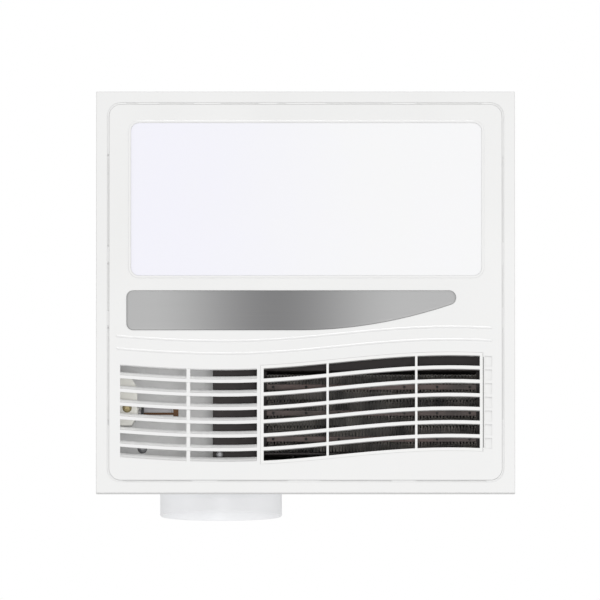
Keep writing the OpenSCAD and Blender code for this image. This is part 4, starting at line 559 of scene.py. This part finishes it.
# Dark strip in the gap beside the outlet insert: a painted shadow of the gap
shadowStrip = {"x": 144.44, "width": 1.05, "fromY": 52.6, "toY": 126.6, "front": -14.03, "depth": 0.4, "steps": 9}


# A narrow strip along Y whose face is a half ellipse, closed at both ends
def buildShadowStrip():
    turn = np.linspace(0, np.pi, shadowStrip["steps"])
    points = gridPoints(shadowStrip["x"] + shadowStrip["width"] / 2 * np.cos(turn),
                        np.array([shadowStrip["fromY"], shadowStrip["toY"]])[:, None],
                        shadowStrip["front"] + shadowStrip["depth"] * (1 - np.sin(turn)))
    addPiece("insertShadowStrip", *loftSections(points), "cover", "dark_rubber")


buildShadowStrip()
print("cover pieces made")

# Nut and washer on the sensor, turned about one axis along X
turned = {"axisY": 97.0, "axisZ": 11.0, "hole": 1.9, "edge": 0.4, "turn": 0.3}     # turn in radians
nut = {"fromX": -135.8, "toX": -133.5, "radius": 5.0, "sides": 6}
washer = {"fromX": -133.5, "toX": -131.3, "radius": 5.7, "sides": 28}


# A ring along X: its profile of (x, radius) with chamfered corners carried round a polygon of so many sides
def turnedRing(size):
    fromX, toX, outer, edge = size["fromX"], size["toX"], size["radius"], turned["edge"]
    profile = np.array([(fromX, turned["hole"]), (fromX, outer - edge), (fromX + edge, outer),
                        (toX - edge, outer), (toX, outer - edge), (toX, turned["hole"])])
    x, radius = profile[:, :1], profile[:, 1:]
    angle = np.arange(size["sides"]) * 2 * np.pi / size["sides"] + turned["turn"]
    return ringSections(gridPoints(x, turned["axisY"] + radius * np.cos(angle),
                                   turned["axisZ"] + radius * np.sin(angle)))


addPiece("probeNut", *turnedRing(nut), "root", "steel", smoothAngle=30, finish="sleeveShadeAndNutGrey")
addPiece("probeWasher", *turnedRing(washer), "root", "dark_rubber", smoothAngle=30)

# Flat grey cover on the sensor's arm: painted shade, toned as the sheet behind it in shade
shadeCover = {"fromX": -131.3, "toX": -108.3, "middleY": 94.15, "middleZ": 9.975, "width": 3.7, "thickness": 0.95,
          "round": 0.3, "roundSteps": 5}


# A box whose four long edges are rounded: a rounded rectangle carried along X
def buildShadeCover():
    loop = roundedLoop(shadeCover["width"] / 2, shadeCover["thickness"] / 2, shadeCover["round"], shadeCover["roundSteps"])
    points = gridPoints(np.array([shadeCover["fromX"], shadeCover["toX"]])[:, None],
                        shadeCover["middleY"] + loop[:, 0], shadeCover["middleZ"] + loop[:, 1])
    addPiece("probeShadeCover", *loftSections(points), "root", "grey_plastic", finish="sleeveShadeAndNutGrey")


buildShadeCover()

# Small dark domes along the heater's tubes
darkDots = {"pitch": 26.6, "count": 7, "middle": 53.6, "foot": 14.05, "radius": 1.15, "rise": 0.6,
          "rings": 4, "sides": 14}


# Shallow domes: rings whose radius falls as the cosine and whose height rises as the sine, with a flat foot
def buildDarkDots():
    rise = np.linspace(0, np.pi / 2, darkDots["rings"], endpoint=False)[:, None]
    angle = np.arange(darkDots["sides"]) * -2 * np.pi / darkDots["sides"]     # clockwise, as the dome rises to -Z
    radius = darkDots["radius"] * np.cos(rise)
    dome = loftSections(gridPoints(radius * np.cos(angle), radius * np.sin(angle),
                                   -darkDots["rise"] * np.sin(rise)))
    along = darkDots["middle"] + darkDots["pitch"] * (np.arange(darkDots["count"]) - (darkDots["count"] - 1) / 2)
    places = [(x, y, darkDots["foot"]) for y in heater["tubeY"] for x in along]
    addPiece("tubeDarkDots", *repeated(*dome, places), "root", "dark_rubber")


buildDarkDots()
print("sensor pieces and rivets made")

# Lip moulded in the seam between the frame and the cover, sunk deeper at the long notches. A notch runs
# between two places along its side. The inner edge is rounded through (part of the width, distance behind)
lip = {"halfWidth": 160.9, "halfLength": 154.4, "radius": 11.0, "cornerSteps": 24, "step": 1.0,
       "width": 1.38, "back": 1.9, "shallow": 0.22, "fade": 1.6, "sideBand": 1.0,
       "roundEdge": [(1.0, 0.22), (0.95, 0.08), (0.8, 0.0)],
       "depth": {"top": 0.85, "bottom": 0.9, "left": 1.45, "right": 1.0},
       "notches": {"top": [(-146, -136), (-120, -91), (-69, -38), (-23, -16), (16, 70), (89, 143)],
                   "bottom": [(-149, -92), (-72, -14), (11, 70), (89, 147)],
                   "left": [(-113, -36), (-25, 16), (27, 109)],
                   "right": [(-111, -39), (-23, 14), (29, 105)]}}


# The rounded rectangle cut at even steps of its length
def evenLoop():
    loop = roundedLoop(lip["halfWidth"], lip["halfLength"], lip["radius"], lip["cornerSteps"])
    closed = np.concatenate([loop, loop[:1]])
    travelled = np.concatenate([[0], np.cumsum(np.linalg.norm(np.diff(closed, axis=0), axis=1))])
    whole = travelled[-1]
    cuts = np.arange(0, whole, whole / round(whole / lip["step"]))
    return np.stack([np.interp(cuts, travelled, closed[:, axis]) for axis in (0, 1)], axis=-1)


# How far the lip's front lies behind the face: shallow, with a straight fade down into each notch of its side
def lipDepth(line):
    x, y = line[:, 0], line[:, 1]
    sideX, sideY = lip["halfWidth"] - lip["sideBand"], lip["halfLength"] - lip["sideBand"]
    sides = {"top": (y < -sideY, x), "bottom": (y > sideY, x),
             "left": (x < -sideX, y), "right": (x > sideX, y)}
    depth = np.full(len(line), lip["shallow"])
    for side, (here, along) in sides.items():
        for start, end in lip["notches"][side]:
            fadeIn = np.clip((along - start) / lip["fade"], 0, 1)
            fadeOut = np.clip((end - along) / lip["fade"], 0, 1)
            notch = lip["shallow"] + (lip["depth"][side] - lip["shallow"]) * fadeIn * fadeOut
            depth = np.where(here, np.maximum(depth, notch), depth)
    return depth


# A flat strip with a rounded inner edge, carried round the seam while its front rises and falls
def buildSeamLip():
    line = evenLoop()
    outward = rightNormals(line)
    front, back = cover["face"] + lipDepth(line), cover["face"] + lip["back"]
    corners = [(0, back), (-lip["width"], back)]
    corners += [(-lip["width"] * part, front + behind) for part, behind in lip["roundEdge"]]
    corners += [(0, front)]
    rings = [atHeight(line + outward * out, height) for out, height in corners]
    addPiece("seamLip", *ringSections(rings), "root", "white_plastic")


buildSeamLip()

# Heater fins: six folded strips of thin sheet between the tubes
fins = {"left": -31.4, "right": 138.6, "width": 8.4, "folds": 126, "thickness": 0.3,
        "low": 14.0, "high": 38.0, "pointsPerFold": 8, "squareness": 2.2}


# A sine flattened by tanh, so that its legs stand steep and its tips are round, carried straight up
def buildFins():
    steps = fins["folds"] * fins["pointsPerFold"] + 1
    phase = np.linspace(0, fins["folds"] * np.pi, steps)
    swing = np.tanh(fins["squareness"] * np.sin(phase)) / math.tanh(fins["squareness"])
    line = np.stack([np.linspace(fins["left"], fins["right"], steps),
                     (fins["width"] / 2 - fins["thickness"]) * swing], axis=-1)
    along = np.gradient(line, axis=0)
    along /= np.linalg.norm(along, axis=1, keepdims=True)
    halfSheet = np.stack([-along[:, 1], along[:, 0]], axis=-1) * fins["thickness"] / 2
    corners = [(line - halfSheet, fins["low"]), (line + halfSheet, fins["low"]),
               (line + halfSheet, fins["high"]), (line - halfSheet, fins["high"])]
    strip = loftSections(np.stack([atHeight(edge, z) for edge, z in corners], axis=1))
    reach = heater["tubeHalf"] + fins["width"] / 2
    places = [(0, tube + side * reach, 0) for tube in heater["tubeY"] for side in (-1, 1)]
    piece = addPiece("heaterFins", *repeated(*strip, places), "root", "aluminium",
                     smoothAngle=50, finish="finSheet")
    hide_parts("ptc_fins")


buildFins()
print("seam lip and fins made")

# Stage, in metres: a pale floor far below, white surroundings, soft lights and the camera
stage = {"floorZ": -30.0, "floorHalf": 90.0, "floorColour": (0.9, 0.9, 0.9, 1), "floorRoughness": 0.9,
         "white": (1, 1, 1, 1), "ambient": 0.68, "backdrop": 1.0}
lamps = {
    "frontKey": {"at": (0.1, 0.55, -3.0), "aim": (0, 0, 0), "size": 0.7, "power": 21.5},
    "highKey": {"at": (-0.1, -2.2, -2.45), "aim": (0, 0, 0), "size": 0.8, "power": 23.8},
    "roofKey": {"at": (1.3, -1.5, 2.6), "aim": (0, 0, 0.08), "size": 1.3, "power": 48.0},
    "slotFill": {"at": (-0.098, 0.085, 0.001), "aim": (-0.098, 0.085, 0.03), "size": 0.08, "power": 0.0026},
    "leftStrip": {"at": (-0.75, 0.25, -0.3), "aim": (-0.07, 0.18, 0), "size": 0.3, "power": 0.35},
    "rightStrip": {"at": (0.75, 0.25, -0.3), "aim": (0.05, 0.18, 0), "size": 0.3, "power": 0.5},
}
# The camera looks at the plate squarely but for its tilt, in degrees; it sees the width across at the face
shot = {"aimX": -0.0045, "aimY": 0.0064, "faceZ": -0.014, "tilt": 4.8, "distance": 21.0, "width": 0.4869,
        "sensor": 36.0, "clipEnd": 100.0}


# Right, up and back directions of a lamp at a place that shines at a target; its back isn't along Y
def aimAt(place, target):
    back = np.array(place, float) - np.array(target, float)
    back /= np.linalg.norm(back)
    right = np.cross((0.0, 1.0, 0.0), back)
    right /= np.linalg.norm(right)
    return right, np.cross(back, right), back


# Links a lamp or camera at a place, turned to the given directions
def placeObject(item, place, right, up, back):
    matrix = np.eye(4)
    matrix[:3, 0], matrix[:3, 1], matrix[:3, 2], matrix[:3, 3] = right, up, back, place
    item.matrix_world = Matrix(matrix.tolist())
    bpy.context.scene.collection.objects.link(item)


# One square of floor
def buildFloor():
    half, z = stage["floorHalf"], stage["floorZ"]
    mesh = bpy.data.meshes.new("floor")
    corners = [(-half, -half, z), (half, -half, z), (half, half, z), (-half, half, z)]
    mesh.from_pydata(corners, [], [[0, 1, 2, 3]])
    paint = bpy.data.materials.new("paleFloor")
    paint.use_nodes = True
    feed(paint.node_tree, paint.node_tree.nodes["Principled BSDF"],
         {"Base Color": stage["floorColour"], "Roughness": stage["floorRoughness"]})
    mesh.materials.append(paint)
    floor = bpy.data.objects.new("floor", mesh)
    bpy.context.scene.collection.objects.link(floor)


# White surroundings that light the object softly, and look plain white to the camera
def buildSurroundings():
    world = bpy.data.worlds.new("whiteRoom")
    world.use_nodes = True
    bpy.context.scene.world = world
    tree = world.node_tree
    room = tree.nodes["Background"]
    feed(tree, room, {"Color": stage["white"], "Strength": stage["ambient"]})
    backdrop = addNode(tree, "ShaderNodeBackground", {"Color": stage["white"], "Strength": stage["backdrop"]})
    path = addNode(tree, "ShaderNodeLightPath", {})
    choose = addNode(tree, "ShaderNodeMixShader", {"Fac": path.outputs["Is Camera Ray"],
                                                   1: room.outputs["Background"],
                                                   2: backdrop.outputs["Background"]})
    feed(tree, tree.nodes["World Output"], {"Surface": choose.outputs["Shader"]})


# Square area lamps, which the camera doesn't see
def buildLamps():
    for name, lamp in lamps.items():
        light = bpy.data.lights.new(name, "AREA")
        light.size = lamp["size"]
        light.energy = lamp["power"]
        item = bpy.data.objects.new(name, light)
        placeObject(item, lamp["at"], *aimAt(lamp["at"], lamp["aim"]))
        item.visible_camera = False


# A long lens far away, whose focal length follows from the distance and the width that it sees
def buildCamera():
    tilt = math.radians(shot["tilt"])
    back = np.array([0, math.sin(tilt), -math.cos(tilt)])
    right = np.array([1.0, 0, 0])
    aim = np.array([shot["aimX"], shot["aimY"], shot["faceZ"]])
    camera = bpy.data.cameras.new("catalogueCamera")
    camera.sensor_width = shot["sensor"]
    camera.lens = shot["sensor"] * shot["distance"] / shot["width"]
    camera.clip_end = shot["clipEnd"]
    item = bpy.data.objects.new("catalogueCamera", camera)
    placeObject(item, aim + back * shot["distance"], right, np.cross(back, right), back)
    bpy.context.scene.camera = item
    bpy.context.scene.view_settings.view_transform = "Standard"


buildFloor()
buildSurroundings()
buildLamps()
buildCamera()
print("stage set")

print("finishing")
